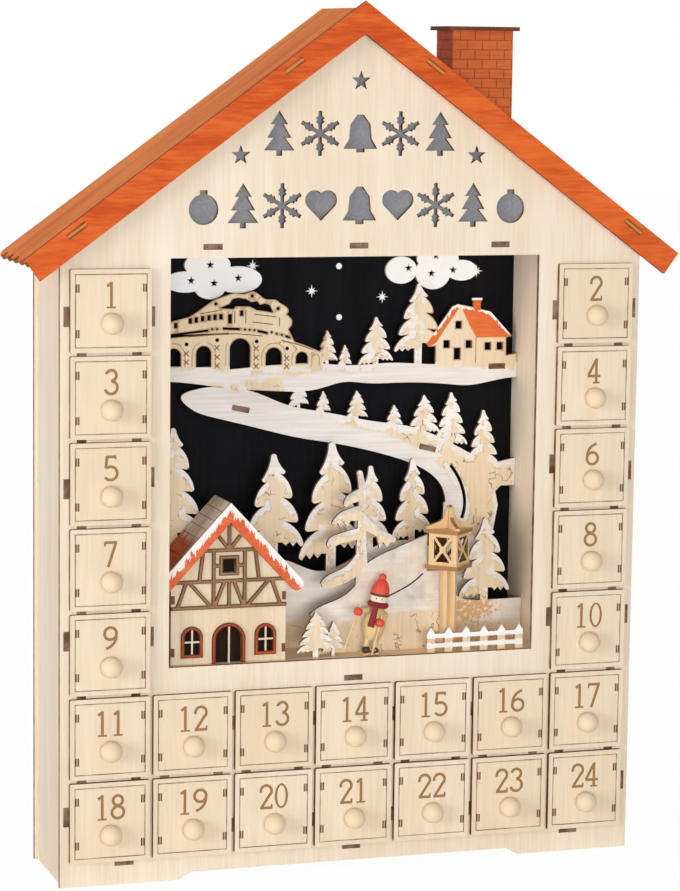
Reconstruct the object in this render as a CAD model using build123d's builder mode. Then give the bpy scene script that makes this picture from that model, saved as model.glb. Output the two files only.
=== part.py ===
from build123d import *
import math
import os

os.makedirs("parts", exist_ok=True)

# House-shaped calendar of laser-cut plywood. Lengths are in millimetres.
# X runs to the right, the front faces -Y and Z is up from the feet.

# Sheet stock, fits and cuts
ply = 3.0
thin_ply = 2.2
veneer = 1.2
backing_sheet = 1.0
joint_gap = 0.1
seam_gap = 0.15
engrave_depth = 0.4

# Drawer grid: seven columns and rows, with the window in place of the middle five by five
grid_side = 7
window_side = 5
pitch = 46.0
ring_size = 44.0
ring_border = 2.7
ring_round = 0.8
drawer_length = 60.0
drawer_slack = 0.35
drawer_side_drop = 3.3
drawer_tab_height = 4.4
drawer_tab_offset = 12.0
digit_height = 14.0
digit_rise = 8.3
knob_diameter = 11.5
knob_reach = 9.0
knob_neck = 6.8
knob_stem = 4.0
knob_drop = 6.6
stem_gap = 0.1

# Case
case_depth = 65.0
grid_base = 13.5
side_margin = 5.0
side_inset = 2.0
foot_length = 66.0
foot_slant = 7.0
foot_rise = 4.0
long_tenon = 10.5
short_tenon = 7.7
narrow_tenon = 5.0
narrow_tenon_offset = 15.0
side_tenon_heights = (39.0, 135.0, 217.0, 308.5)
niche_tenon_heights = (135.5, 222.0, 308.0)
divider_tenon_heights = (28.6, 85.5)
top_tenon_offset = 81.8
base_tenon_offset = 129.4
stage_tenon_offset = 15.0
ceiling_rise = 2.0
window_side_margin = 11.0
window_sill_margin = 14.2
window_head_margin = 5.1
head_board_rise = 4.4
stage_drop = 0.4

# Roof
roof_pitch = 36.3
fascia_width = 14.0
eave_rise = 3.1
eave_reach = 20.2
roof_drop = 2.8
front_overhang = 7.4
back_overhang = 5.0
roof_tenon = 12.0
roof_tenon_runs = (50.3, 196.6)
tail_width = 10.5
tail_reach = 3.0
tail_count = 5

# Chimney on the right slope
chimney_offset = 76.3
chimney_width = 35.2
chimney_depth = 26.0
chimney_setback = 18.0
chimney_height = 460.5
chimney_tab = 4.6
chimney_tab_drop = 9.0
cap_overhang = 2.8
brick_length = 8.6
brick_height = 5.2
brick_joint = 0.5
brick_joint_depth = 0.3

# Pierced gable
star_radius = 5.6
star_places = ((0.0, 432.8), (-66.9, 393.0), (66.9, 393.0))
ornament_height = 24.0
upper_row_height = 404.7
upper_row_pitch = 22.8
lower_row_height = 366.2
lower_row_pitch = 21.8
backing_margin = 6.0

# Scene behind the window: depths are measured from the front panel's face
village_depth = 51.5
trees_depth = 38.0
hill_depth = 18.0
house_depth = 4.1
house_length = 30.0
fence_depth = 6.0
firs_depth = 9.0
skier_depth = 10.5
lantern_depth = 14.0
strut_width = 10.0
slit_width = 0.9

# Small house
house_offset = 69.5
house_width = 65.0
house_wall_height = 50.5
house_pitch = 47.0
bargeboard_width = 7.4
bargeboard_reach = 8.0
beam_width = 2.0
door_width = 15.0
door_height = 20.4
pane_width = 8.4
pane_height = 13.5
pane_sill = 5.7
pane_offset = 20.8
frame_width = 1.9
gable_window = 7.2
cross_bar = 1.0
house_tab = 4.5
house_tab_heights = (7.0, 36.0)

# Lantern
lantern_offset = 60.0
lantern_turn = 45.0
lantern_side = 17.0
lantern_pane = 18.0
lantern_post_height = 46.0
post_width = 9.0
plate_overhang = 1.4
lattice_bar = 1.5
lattice_border = 2.0
lattice_boss = 1.9
ogee_height = 13.0

# Picket fence
fence_offset = 73.5
fence_length = 57.0
picket_count = 6
picket_width = 4.6
picket_height = 14.0
picket_point = 3.4
rail_height = 2.4
rail_levels = (2.6, 8.0)

# Turned skier
skier_offset = 12.5
ski_length = 14.0
ski_width = 2.6
ski_thickness = 1.0
leg_spacing = 5.2
boot_radius = 2.1
boot_height = 2.6
leg_radius = 1.5
leg_height = 5.4
body_radius = 5.6
body_height = 14.5
collar_radius = 4.2
collar_height = 2.8
head_radius = 4.6
hat_height = 8.2
hat_top_radius = 1.6
bobble_radius = 2.0
hand_radius = 1.9
hand_reach = 8.6
hand_height = 19.0
arm_radius = 1.2
pole_radius = 0.5

# Places worked out from the sizes above
half_grid = (grid_side - 1) / 2
half_window = window_side / 2
panel_half = half_grid * pitch + ring_size / 2 + side_margin
box_size = ring_size - 2 * ring_border
opening_size = box_size + 2 * drawer_slack
front_reach = ply + knob_reach
back_reach = case_depth + back_overhang
front_y = (front_reach - back_reach) / 2
inner_front = front_y + ply
inner_back = front_y + case_depth - ply
inner_depth = inner_back - inner_front
middle_y = (inner_front + inner_back) / 2
side_centre = panel_half - side_inset - ply / 2
wall_centre = half_window * pitch
niche_width = 2 * wall_centre - ply
inner_width = 2 * side_centre - ply
window_width = (window_side + 1) * pitch + ring_size - 2 * (ring_size + window_side_margin)
grid_top = grid_base + (grid_side - 1) * pitch + ring_size
lower_rows_top = grid_base + pitch + ring_size
window_sill = lower_rows_top + window_sill_margin
window_head = grid_top + window_head_margin
row_gap = pitch - ring_size
lower_shelf_z = grid_base + ring_size + row_gap / 2 - ply / 2
base_z = grid_base - ply
ceiling_z = lower_rows_top + ceiling_rise
head_board_z = window_head + head_board_rise
stage_top = window_sill - stage_drop
niche_height = head_board_z - stage_top
sky_depth = case_depth - ply - thin_ply

slope = math.radians(roof_pitch)
rise_rate = math.tan(slope)
fascia_foot = grid_top + eave_rise
apex_z = fascia_foot + panel_half * rise_rate + fascia_width / math.cos(slope)
roof_run = (panel_half + eave_reach) / math.cos(slope)
ridge_z = apex_z - roof_drop / math.cos(slope)
under_ridge_z = ridge_z - ply / math.cos(slope)


def under_roof(x):
    return under_ridge_z - abs(x) * rise_rate


def column_x(column):
    return (column - half_grid) * pitch


def row_z(row):
    return grid_base + ring_size / 2 + row * pitch


def front_plane(depth):
    return Plane.XZ.offset(-(front_y + depth))


def mirrored(points):
    return points + [(-x, z) for x, z in reversed(points) if x != 0]


def polygon_face(points, mode=Mode.ADD):
    Polygon(*points, align=None, mode=mode)


def group(label, pieces):
    return Compound(label=label, children=pieces)


def save(piece, label):
    piece.label = label
    export_step(piece, f"parts/{label}.step")


# Tenons: the same list cuts the panels and shapes the boards
side_shelf_levels = [row_z(row) + ring_size / 2 + row_gap / 2 - ply / 2 for row in range(1, grid_side - 1)]
side_shelf_centre = (side_centre + wall_centre) / 2
side_shelf_width = side_centre - wall_centre - ply
shelf_tenon_xs = [
    column_x(column) + side * narrow_tenon_offset for column in range(grid_side) for side in (-1, 1)
]
divider_xs = [(index - half_window) * pitch for index in range(1, window_side)]
head_tenon_xs = (-top_tenon_offset, 0, top_tenon_offset)
base_tenon_xs = (-base_tenon_offset, 0, base_tenon_offset)

level_mortises = [(x, head_board_z, long_tenon) for x in head_tenon_xs]
level_mortises += [(x, base_z, long_tenon) for x in base_tenon_xs]
level_mortises += [(0, ceiling_z, long_tenon)]
level_mortises += [(x, lower_shelf_z, narrow_tenon) for x in shelf_tenon_xs]
level_mortises += [
    (hand * (side_shelf_centre + side * narrow_tenon_offset), z, narrow_tenon)
    for z in side_shelf_levels
    for hand in (-1, 1)
    for side in (-1, 1)
]
upright_mortises = [(hand * side_centre, z, long_tenon) for z in side_tenon_heights for hand in (-1, 1)]
upright_mortises += [(hand * wall_centre, z, long_tenon) for z in niche_tenon_heights for hand in (-1, 1)]
upright_mortises += [(x, z, short_tenon) for x in divider_xs for z in divider_tenon_heights]


def mortises():
    for x, z, length in level_mortises:
        with Locations((x, z + ply / 2)):
            Rectangle(length + 2 * joint_gap, ply + 2 * joint_gap, mode=Mode.SUBTRACT)
    for x, z, length in upright_mortises:
        with Locations((x, z)):
            Rectangle(ply + 2 * joint_gap, length + 2 * joint_gap, mode=Mode.SUBTRACT)


def panel_face():
    foot_edge = panel_half - foot_length
    polygon_face(
        mirrored(
            [
                (0, under_ridge_z),
                (panel_half, under_roof(panel_half)),
                (panel_half, 0),
                (foot_edge, 0),
                (foot_edge - foot_slant, foot_rise),
            ]
        )
    )
    mortises()


# Gable ornaments, drawn in shares of their own height
fir_shares = [
    (0, 0.5),
    (0.2, 0.2),
    (0.1, 0.2),
    (0.28, -0.1),
    (0.14, -0.1),
    (0.36, -0.38),
    (0.07, -0.38),
    (0.07, -0.5),
]
bell_shares = [(0.08, 0.42), (0.24, 0.2), (0.27, -0.12), (0.4, -0.34), (0.1, -0.34), (0.1, -0.42)]
flake_arm_share = 0.09
flake_branch_share = 0.2
flake_branch_place_share = 0.3
heart_lobe_share = 0.22
heart_lobe_place_share = 0.12
bauble_share = 0.34
bauble_drop_share = 0.08
bauble_cap_share = 0.18
star_waist_share = 0.42
star_points = 5


def star_outline(radius, points):
    step = math.pi / points
    reach = [radius if index % 2 == 0 else radius * star_waist_share for index in range(2 * points)]
    return [(r * math.sin(index * step), r * math.cos(index * step)) for index, r in enumerate(reach)]


def scaled(shares, size):
    return mirrored([(x * size, z * size) for x, z in shares])


with BuildSketch() as fir_ornament:
    polygon_face(scaled(fir_shares, ornament_height))

with BuildSketch() as bell_ornament:
    polygon_face(scaled(bell_shares, ornament_height))

with BuildSketch() as flake_ornament:
    for turn in range(3):
        Rectangle(ornament_height * flake_arm_share, ornament_height, rotation=turn * 60)
    with PolarLocations(ornament_height * flake_branch_place_share, 6, start_angle=90):
        for lean in (-45, 45):
            Rectangle(
                ornament_height * flake_branch_share,
                ornament_height * flake_arm_share,
                rotation=lean,
            )

with BuildSketch() as heart_ornament:
    lobe = ornament_height * heart_lobe_share
    lobe_z = ornament_height * heart_lobe_place_share
    with Locations((-lobe * math.cos(math.pi / 4), lobe_z), (lobe * math.cos(math.pi / 4), lobe_z)):
        Circle(lobe)
    with Locations((0, lobe_z - lobe * math.cos(math.pi / 4))):
        Rectangle(2 * lobe, 2 * lobe, rotation=45)

with BuildSketch() as bauble_ornament:
    with Locations((0, -ornament_height * bauble_drop_share)):
        Circle(ornament_height * bauble_share)
    with Locations((0, ornament_height * (bauble_share - bauble_drop_share))):
        Rectangle(ornament_height * bauble_cap_share, ornament_height * bauble_cap_share)

upper_row = [fir_ornament, flake_ornament, bell_ornament, flake_ornament, fir_ornament]
lower_row = [
    bauble_ornament,
    fir_ornament,
    flake_ornament,
    heart_ornament,
    bell_ornament,
    heart_ornament,
    flake_ornament,
    fir_ornament,
    bauble_ornament,
]


def ornament_row(ornaments, row_height, row_pitch):
    first = -(len(ornaments) - 1) / 2 * row_pitch
    for index, ornament in enumerate(ornaments):
        with Locations((first + index * row_pitch, row_height)):
            add(ornament.sketch, mode=Mode.SUBTRACT)


# Drawer numbers run down the two side columns and then along the two bottom rows
drawer_places = {}
for number in range(1, 2 * window_side + 1):
    place_column = 0 if number % 2 else grid_side - 1
    drawer_places[number] = (place_column, grid_side - 1 - (number - 1) // 2)
for number in range(2 * window_side + 1, 2 * (window_side + grid_side) + 1):
    index = number - 2 * window_side - 1
    drawer_places[number] = (index % grid_side, 1 - index // grid_side)

# Front panel: gable, window, drawer openings, pierced ornaments and mortises
with BuildPart() as front_panel:
    with BuildSketch(front_plane(0)):
        panel_face()
        with Locations(*[(column_x(column), row_z(row)) for column, row in drawer_places.values()]):
            Rectangle(opening_size, opening_size, mode=Mode.SUBTRACT)
        with Locations((0, (window_sill + window_head) / 2)):
            Rectangle(window_width, window_head - window_sill, mode=Mode.SUBTRACT)
        for star_place in star_places:
            with Locations(star_place):
                Polygon(*star_outline(star_radius, star_points), align=None, mode=Mode.SUBTRACT)
        ornament_row(upper_row, upper_row_height, upper_row_pitch)
        ornament_row(lower_row, lower_row_height, lower_row_pitch)
    extrude(amount=-ply)
save(front_panel.part, "front_panel")

with BuildPart() as back_panel:
    with BuildSketch(front_plane(case_depth - ply)):
        panel_face()
    extrude(amount=-ply)
save(back_panel.part, "back_panel")

# Grey sheet behind the pierced gable
backing_half = len(lower_row) / 2 * lower_row_pitch + backing_margin
backing_top = star_places[0][1] + star_radius + backing_margin
backing_foot = lower_row_height - ornament_height / 2 - backing_margin / 2
with BuildPart() as ornament_backing:
    with BuildSketch(front_plane(ply)):
        polygon_face(
            mirrored(
                [
                    ((under_ridge_z - backing_top) / rise_rate - backing_margin, backing_top),
                    (backing_half, under_roof(backing_half) - backing_margin),
                    (backing_half, backing_foot),
                ]
            )
        )
    extrude(amount=-backing_sheet)
save(ornament_backing.part, "ornament_backing")


# Case boards: tenons reach right through both panels
def level_board(centre, width, z, tenon_xs, tenon, slot_xs=()):
    with BuildPart() as board:
        with BuildSketch(Plane.XY.offset(z)):
            with Locations((centre, middle_y)):
                Rectangle(width, inner_depth)
            with Locations(*[(x, middle_y) for x in tenon_xs]):
                Rectangle(tenon, case_depth)
            for x in slot_xs:
                with Locations((x, middle_y + inner_depth / 4)):
                    Rectangle(ply + 2 * joint_gap, inner_depth / 2, mode=Mode.SUBTRACT)
        extrude(amount=ply)
    return board.part


def upright_board(centre, foot, top, tenon_heights, tenon, slot_zs=()):
    with BuildPart() as board:
        with BuildSketch(Plane.YZ.offset(centre - ply / 2)):
            with Locations((middle_y, (foot + top) / 2)):
                Rectangle(inner_depth, top - foot)
            with Locations(*[(middle_y, z) for z in tenon_heights]):
                Rectangle(case_depth, tenon)
            for z in slot_zs:
                with Locations((middle_y - inner_depth / 4, z + ply / 2)):
                    Rectangle(inner_depth / 2, ply + 2 * joint_gap, mode=Mode.SUBTRACT)
        extrude(amount=ply)
    return board.part


side_top = under_roof(side_centre + ply / 2)
save(upright_board(-side_centre, 0, side_top, side_tenon_heights, long_tenon), "side_panel_left")
save(upright_board(side_centre, 0, side_top, side_tenon_heights, long_tenon), "side_panel_right")
save(level_board(0, inner_width, base_z, base_tenon_xs, long_tenon), "base_board")
save(level_board(0, inner_width, head_board_z, head_tenon_xs, long_tenon), "niche_top_board")
save(level_board(0, niche_width, ceiling_z, (0,), long_tenon), "ceiling_board")

slot_xs = [-wall_centre, *divider_xs, wall_centre]
save(
    level_board(0, inner_width, lower_shelf_z, shelf_tenon_xs, narrow_tenon, slot_xs),
    "lower_shelf",
)

divider_foot = base_z + ply
lower_dividers = [
    upright_board(x, divider_foot, ceiling_z, divider_tenon_heights, short_tenon, [lower_shelf_z])
    for x in divider_xs
]
save(group("lower_dividers", lower_dividers), "lower_dividers")

side_shelves = [
    level_board(
        hand * side_shelf_centre,
        side_shelf_width,
        z,
        [hand * (side_shelf_centre + side * narrow_tenon_offset) for side in (-1, 1)],
        narrow_tenon,
    )
    for hand in (-1, 1)
    for z in side_shelf_levels
]
save(group("side_shelves", side_shelves), "side_shelves")

stage_length = sky_depth - ply
stage_middle = front_y + ply + stage_length / 2
stage_tenon_ys = [stage_middle - stage_tenon_offset, stage_middle + stage_tenon_offset]


def niche_wall(centre):
    board = upright_board(
        centre, divider_foot, head_board_z, niche_tenon_heights, long_tenon, [lower_shelf_z]
    )
    with BuildPart() as wall:
        add(board)
        with BuildSketch(Plane.YZ.offset(centre - ply / 2)):
            with Locations(*[(y, stage_top - ply / 2) for y in stage_tenon_ys]):
                Rectangle(long_tenon + 2 * joint_gap, ply + 2 * joint_gap)
        extrude(amount=ply, mode=Mode.SUBTRACT)
    return wall.part


save(niche_wall(-wall_centre), "niche_wall_left")
save(niche_wall(wall_centre), "niche_wall_right")

with BuildPart() as stage_floor:
    with BuildSketch(Plane.XY.offset(stage_top - ply)):
        with Locations((0, stage_middle)):
            Rectangle(niche_width, stage_length)
        with Locations(*[(0, y) for y in stage_tenon_ys]):
            Rectangle(niche_width + 2 * ply, long_tenon)
    extrude(amount=ply)
save(stage_floor.part, "stage_floor")

# Roof: boards under the fascia's top edge, with half-round tails along the eaves
roof_plane = Plane(
    origin=(0, front_y, ridge_z),
    x_dir=(math.cos(slope), 0, -math.sin(slope)),
    z_dir=(math.sin(slope), 0, math.cos(slope)),
)
board_front = ply - front_overhang
board_back = case_depth + back_overhang
board_run = roof_run - tail_reach - roof_drop * rise_rate
tail_step = (board_back - board_front) / tail_count

with BuildPart() as roof_board_right:
    with BuildSketch(roof_plane):
        with Locations((board_run / 2, (board_front + board_back) / 2)):
            Rectangle(board_run, board_back - board_front)
        with Locations(*[(run, board_front - ply / 2) for run in roof_tenon_runs]):
            Rectangle(roof_tenon, ply)
        for tail in range(tail_count):
            with Locations((board_run, board_front + (2 * tail + 1) * tail_step / 2)):
                Ellipse(tail_reach, tail_width / 2)
    extrude(amount=-ply)
    split(bisect_by=Plane.YZ, keep=Keep.TOP)
save(roof_board_right.part, "roof_board_right")

with BuildPart() as roof_board_left:
    mirror(roof_board_right.part, about=Plane.YZ)
save(roof_board_left.part, "roof_board_left")


def on_slope(run, drop):
    return (
        run * math.cos(slope) - drop * math.sin(slope),
        apex_z - run * math.sin(slope) - drop * math.cos(slope),
    )


with BuildPart() as roof_fascia:
    with BuildSketch(front_plane(-front_overhang)):
        polygon_face(
            mirrored(
                [
                    (0, apex_z),
                    on_slope(roof_run, 0),
                    on_slope(roof_run, fascia_width),
                    (0, apex_z - fascia_width / math.cos(slope)),
                ]
            )
        )
        for run in roof_tenon_runs:
            slot_x, slot_z = on_slope(run + roof_drop * rise_rate, roof_drop + ply / 2)
            for hand in (-1, 1):
                with Locations((hand * slot_x, slot_z)):
                    Rectangle(
                        roof_tenon + 2 * joint_gap,
                        ply + 2 * joint_gap,
                        rotation=-hand * roof_pitch,
                        mode=Mode.SUBTRACT,
                    )
    extrude(amount=-ply)
save(roof_fascia.part, "roof_fascia")

# Chimney: four brick-engraved walls cut to the roof's slope, and a cap plate
chimney_left = chimney_offset - chimney_width / 2
chimney_right = chimney_offset + chimney_width / 2
chimney_foot = ridge_z - (chimney_right + ply) * rise_rate
chimney_tall = chimney_height - chimney_foot
chimney_y = front_y + chimney_setback + chimney_depth / 2


def brick_joints(width, height):
    courses = int(height / brick_height)
    for course in range(courses):
        level = height / 2 - (course + 1) * brick_height
        with Locations((0, level)):
            Rectangle(width, brick_joint)
        bricks = int(width / brick_length)
        shift = brick_length / 2 if course % 2 else 0
        for brick in range(bricks):
            joint_x = -width / 2 + brick_length / 2 + shift + brick * brick_length
            if abs(joint_x) < width / 2 - brick_joint:
                with Locations((joint_x, level + brick_height / 2)):
                    Rectangle(brick_joint, brick_height)


def chimney_wall(plane, width, tabs_in, tabs_out):
    with BuildPart() as wall:
        with BuildSketch(plane):
            Rectangle(width, chimney_tall)
            for hand in (-1, 1):
                with Locations((hand * (width - thin_ply) / 2, chimney_tall / 2 - chimney_tab_drop)):
                    if tabs_in:
                        Rectangle(thin_ply, chimney_tab + 2 * joint_gap, mode=Mode.SUBTRACT)
                with Locations((hand * (width + thin_ply) / 2, chimney_tall / 2 - chimney_tab_drop)):
                    if tabs_out:
                        Rectangle(thin_ply, chimney_tab)
        extrude(amount=-thin_ply)
        with BuildSketch(plane):
            brick_joints(width, chimney_tall)
        extrude(amount=-brick_joint_depth, mode=Mode.SUBTRACT)
        split(bisect_by=roof_plane, keep=Keep.TOP)
    return wall.part


chimney_middle = chimney_foot + chimney_tall / 2
front_wall = Plane(
    origin=(chimney_offset, chimney_y - chimney_depth / 2, chimney_middle),
    x_dir=(1, 0, 0),
    z_dir=(0, -1, 0),
)
back_wall = Plane(
    origin=(chimney_offset, chimney_y + chimney_depth / 2, chimney_middle),
    x_dir=(-1, 0, 0),
    z_dir=(0, 1, 0),
)
left_wall = Plane(origin=(chimney_left, chimney_y, chimney_middle), x_dir=(0, -1, 0), z_dir=(-1, 0, 0))
right_wall = Plane(origin=(chimney_right, chimney_y, chimney_middle), x_dir=(0, 1, 0), z_dir=(1, 0, 0))
side_wall_width = chimney_depth - 2 * thin_ply
save(chimney_wall(front_wall, chimney_width, True, False), "chimney_front")
save(chimney_wall(back_wall, chimney_width, True, False), "chimney_back")
save(
    group(
        "chimney_sides",
        [chimney_wall(plane, side_wall_width, False, True) for plane in (left_wall, right_wall)],
    ),
    "chimney_sides",
)

with BuildPart() as chimney_cap:
    with BuildSketch(Plane.XY.offset(chimney_height)):
        with Locations((chimney_offset, chimney_y)):
            Rectangle(chimney_width + 2 * cap_overhang, chimney_depth + 2 * cap_overhang)
    extrude(amount=thin_ply)
save(chimney_cap.part, "chimney_cap")

# Numerals: strokes in shares of the digit height, from the middle of the foot of each digit
stroke_share = 0.11
thin_stroke_share = 0.07
digit_spread_share = 0.31
digit_line_shares = {
    1: [((0, 0), (0, 1)), ((-0.17, 0.84), (0.02, 0.96))],
    2: [((0.17, 0.61), (-0.2, 0.05)), ((-0.24, 0.055), (0.25, 0.055))],
    4: [((0.09, 0), (0.09, 1)), ((0.07, 0.95), (-0.25, 0.32)), ((-0.28, 0.3), (0.27, 0.3))],
    5: [((-0.17, 0.945), (0.2, 0.945)), ((-0.15, 0.98), (-0.2, 0.5))],
    7: [((-0.25, 0.945), (0.25, 0.945)), ((0.2, 0.93), (-0.1, 0))],
}
digit_serif_shares = {
    1: [((-0.18, 0.035), (0.18, 0.035))],
    2: [((0.23, 0.03), (0.23, 0.2))],
    4: [((-0.06, 0.035), (0.24, 0.035))],
    5: [((0.18, 0.98), (0.18, 0.84))],
    7: [((-0.23, 0.97), (-0.23, 0.8))],
}
digit_arc_shares = {
    2: [(0, 0.73, 0.22, 195, -235)],
    3: [(0, 0.75, 0.2, 165, -255), (0, 0.29, 0.24, 90, -255)],
    5: [(-0.01, 0.31, 0.255, 128, -275)],
    6: [(0.29, 0.36, 0.52, 178, -75)],
    9: [(-0.29, 0.64, 0.52, -2, -75)],
}
digit_ring_shares = {
    6: [(0, 0.285, 0.235)],
    8: [(0, 0.755, 0.19), (0, 0.29, 0.235)],
    9: [(0, 0.715, 0.235)],
}
zero_outer_shares = (0.27, 0.5)
zero_inner_shares = (0.17, 0.42)


def digit_sketch(digit):
    with BuildSketch() as glyph:
        for ring_x, ring_z, radius in digit_ring_shares.get(digit, []):
            with Locations((ring_x * digit_height, ring_z * digit_height)):
                Circle((radius + stroke_share / 2) * digit_height)
                Circle((radius - stroke_share / 2) * digit_height, mode=Mode.SUBTRACT)
        for arc_x, arc_z, radius, start, sweep_angle in digit_arc_shares.get(digit, []):
            with BuildLine():
                CenterArc(
                    (arc_x * digit_height, arc_z * digit_height), radius * digit_height, start, sweep_angle
                )
            trace(line_width=stroke_share * digit_height)
        for lines, share in ((digit_line_shares, stroke_share), (digit_serif_shares, thin_stroke_share)):
            for start_point, end_point in lines.get(digit, []):
                with BuildLine():
                    Line(Vector(*start_point) * digit_height, Vector(*end_point) * digit_height)
                trace(line_width=share * digit_height)
        if digit == 0:
            with Locations((0, digit_height / 2)):
                Ellipse(*[share * digit_height for share in zero_outer_shares])
                Ellipse(*[share * digit_height for share in zero_inner_shares], mode=Mode.SUBTRACT)
    return glyph.sketch


digits = {digit: digit_sketch(digit) for digit in range(10)}

# Drawer pieces that are the same in every drawer, modelled round the middle of its front
ring_face = -ply
box_front_back = ring_face + thin_ply
box_end = ring_face + drawer_length
side_height = box_size - drawer_side_drop
side_z = -box_size / 2 + side_height / 2
box_inner = box_size - 2 * thin_ply
side_length = box_end - box_front_back
drawer_plane = Plane.XZ.offset(-(front_y + ring_face))

with BuildPart() as drawer_ring:
    with BuildSketch(drawer_plane):
        RectangleRounded(ring_size, ring_size, ring_round)
        Rectangle(box_size + 2 * seam_gap, box_size + 2 * seam_gap, mode=Mode.SUBTRACT)
    extrude(amount=-ply)

side_middle_y = front_y + (box_front_back + box_end) / 2


def drawer_side(hand):
    inner_face = hand * box_inner / 2
    with BuildPart() as side:
        with BuildSketch(Plane.YZ.offset(min(inner_face, inner_face + hand * thin_ply))):
            with Locations((side_middle_y, side_z)):
                Rectangle(side_length, side_height)
            with Locations(
                *[
                    (front_y + (ring_face + box_front_back) / 2, place * drawer_tab_offset)
                    for place in (-1, 1)
                ]
            ):
                Rectangle(thin_ply, drawer_tab_height)
        extrude(amount=thin_ply)
    return side.part


with BuildPart() as drawer_back:
    with BuildSketch(Plane.XZ.offset(-(front_y + box_end - thin_ply))):
        with Locations((0, side_z)):
            Rectangle(box_inner, side_height)
    extrude(amount=-thin_ply)

with BuildPart() as drawer_bottom:
    with BuildSketch(Plane.XY.offset(-box_size / 2)):
        with Locations((0, side_middle_y - thin_ply / 2)):
            Rectangle(box_inner, side_length - thin_ply)
    extrude(amount=thin_ply)

# Knob: a ball with a flat seat on a short stem, turned about the Y axis
knob_face_y = front_y + ring_face
knob_radius = knob_diameter / 2
knob_belly = knob_reach - knob_radius
knob_axis = Axis((0, knob_face_y, -knob_drop), (0, 1, 0))
with BuildPart() as drawer_knob:
    with BuildSketch(Plane.XY.offset(-knob_drop)):
        with BuildLine():
            Polyline(
                (0, knob_face_y - knob_reach),
                (0, knob_face_y + thin_ply),
                (knob_stem / 2, knob_face_y + thin_ply),
                (knob_stem / 2, knob_face_y),
                (knob_neck / 2, knob_face_y),
            )
            ThreePointArc(
                (knob_neck / 2, knob_face_y),
                (
                    knob_neck / 2 + (knob_radius - knob_neck / 2) * math.sin(math.pi / 4),
                    knob_face_y - knob_belly * (1 - math.cos(math.pi / 4)),
                ),
                (knob_radius, knob_face_y - knob_belly),
            )
            ThreePointArc(
                (knob_radius, knob_face_y - knob_belly),
                (
                    knob_radius * math.cos(math.pi / 4),
                    knob_face_y - knob_belly - knob_radius * math.sin(math.pi / 4),
                ),
                (0, knob_face_y - knob_reach),
            )
        make_face()
    revolve(axis=knob_axis)


def drawer_front(number):
    figures = [int(figure) for figure in str(number)]
    spread = digit_spread_share * digit_height
    with BuildPart() as front:
        with BuildSketch(drawer_plane):
            Rectangle(box_size, box_size)
            for hand in (-1, 1):
                for place in (-1, 1):
                    with Locations((hand * (box_size - thin_ply) / 2, place * drawer_tab_offset)):
                        Rectangle(thin_ply, drawer_tab_height, mode=Mode.SUBTRACT)
            with Locations((0, -knob_drop)):
                Circle(knob_stem / 2 + stem_gap, mode=Mode.SUBTRACT)
        extrude(amount=-thin_ply)
        with BuildSketch(drawer_plane):
            for index, figure in enumerate(figures):
                digit_x = (2 * index - len(figures) + 1) * spread
                with Locations((digit_x, digit_rise - digit_height / 2)):
                    add(digits[figure])
        extrude(amount=-engrave_depth, mode=Mode.SUBTRACT)
    return front.part


drawer_pieces = [
    drawer_ring.part,
    drawer_side(-1),
    drawer_side(1),
    drawer_back.part,
    drawer_bottom.part,
    drawer_knob.part,
]
for number, (column, row) in drawer_places.items():
    place = Location((column_x(column), 0, row_z(row)))
    pieces = [piece.moved(place) for piece in [*drawer_pieces, drawer_front(number)]]
    save(group(f"drawer_{number:02d}", pieces), f"drawer_{number:02d}")


# Scene outlines are shares of the niche's width and of its height above the stage
def scene_point(share_x, share_z):
    return (share_x * niche_width, stage_top + share_z * niche_height)


def scene_outline(shares):
    return [scene_point(*share) for share in shares]


def smooth_face(upper_shares, lower_shares):
    upper = scene_outline(upper_shares)
    lower = scene_outline(lower_shares)
    with BuildLine() as outline:
        Spline(*upper)
        Line(upper[-1], lower[0])
        Spline(*lower)
        Line(lower[-1], upper[0])
    make_face(outline.edges())


# A fir has drooping tiers: a shoulder out to each rounded tip and a notch back under it
tip_radius_share = 0.12
shoulder_share = 0.12
flare_share = -0.07
notch_share = 0.46
notch_lift_share = 0.05
trunk_lift_share = 0.2
tier_skew_share = 0.16
fir_trunk_share = 0.14
fir_trunk_width_share = 0.15
fir_spread_power = 0.7
icicle_shares = [(0.78, 0.2), (0.66, 0.02), (0.54, 0.22), (0.42, 0.05), (0.3, 0.2)]
quarter_share = math.sqrt(0.5)


def bowed(start, end, share):
    middle_x = (start[0] + end[0]) / 2
    middle_z = (start[1] + end[1]) / 2
    return (middle_x - (end[1] - start[1]) * share, middle_z + (end[0] - start[0]) * share)


def fir_side(x, z, width, height, tiers, trunk_share, hand):
    tier = height * (1 - trunk_share) / tiers
    radius = tier * tip_radius_share
    top = (x, z + height)
    corner = (x + hand * radius, top[1] - radius)
    ThreePointArc(top, (x + hand * radius * quarter_share, corner[1] + radius * quarter_share), corner)
    bow_share = flare_share
    for level in range(1, tiers + 1):
        reach = width / 2 * (level / tiers) ** fir_spread_power
        tip_z = top[1] - level * tier + tier * tier_skew_share * hand
        centre = (x + hand * (reach - radius), tip_z + radius)
        outer = (x + hand * reach, centre[1])
        below = (centre[0], tip_z)
        round_point = (centre[0] + hand * radius * quarter_share, centre[1] - radius * quarter_share)
        ThreePointArc(corner, bowed(corner, outer, hand * bow_share), outer)
        ThreePointArc(outer, round_point, below)
        if level < tiers:
            corner = (x + hand * reach * notch_share, tip_z + tier * notch_lift_share)
            Line(below, corner)
        bow_share = shoulder_share
    teeth = [(x + hand * reach * share_x, tip_z + tier * share_z) for share_x, share_z in icicle_shares]
    trunk_x = x + hand * width * fir_trunk_width_share / 2
    foot = (trunk_x, z)
    Polyline(below, *teeth, (trunk_x, tip_z + tier * trunk_lift_share), foot)
    return foot


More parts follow.
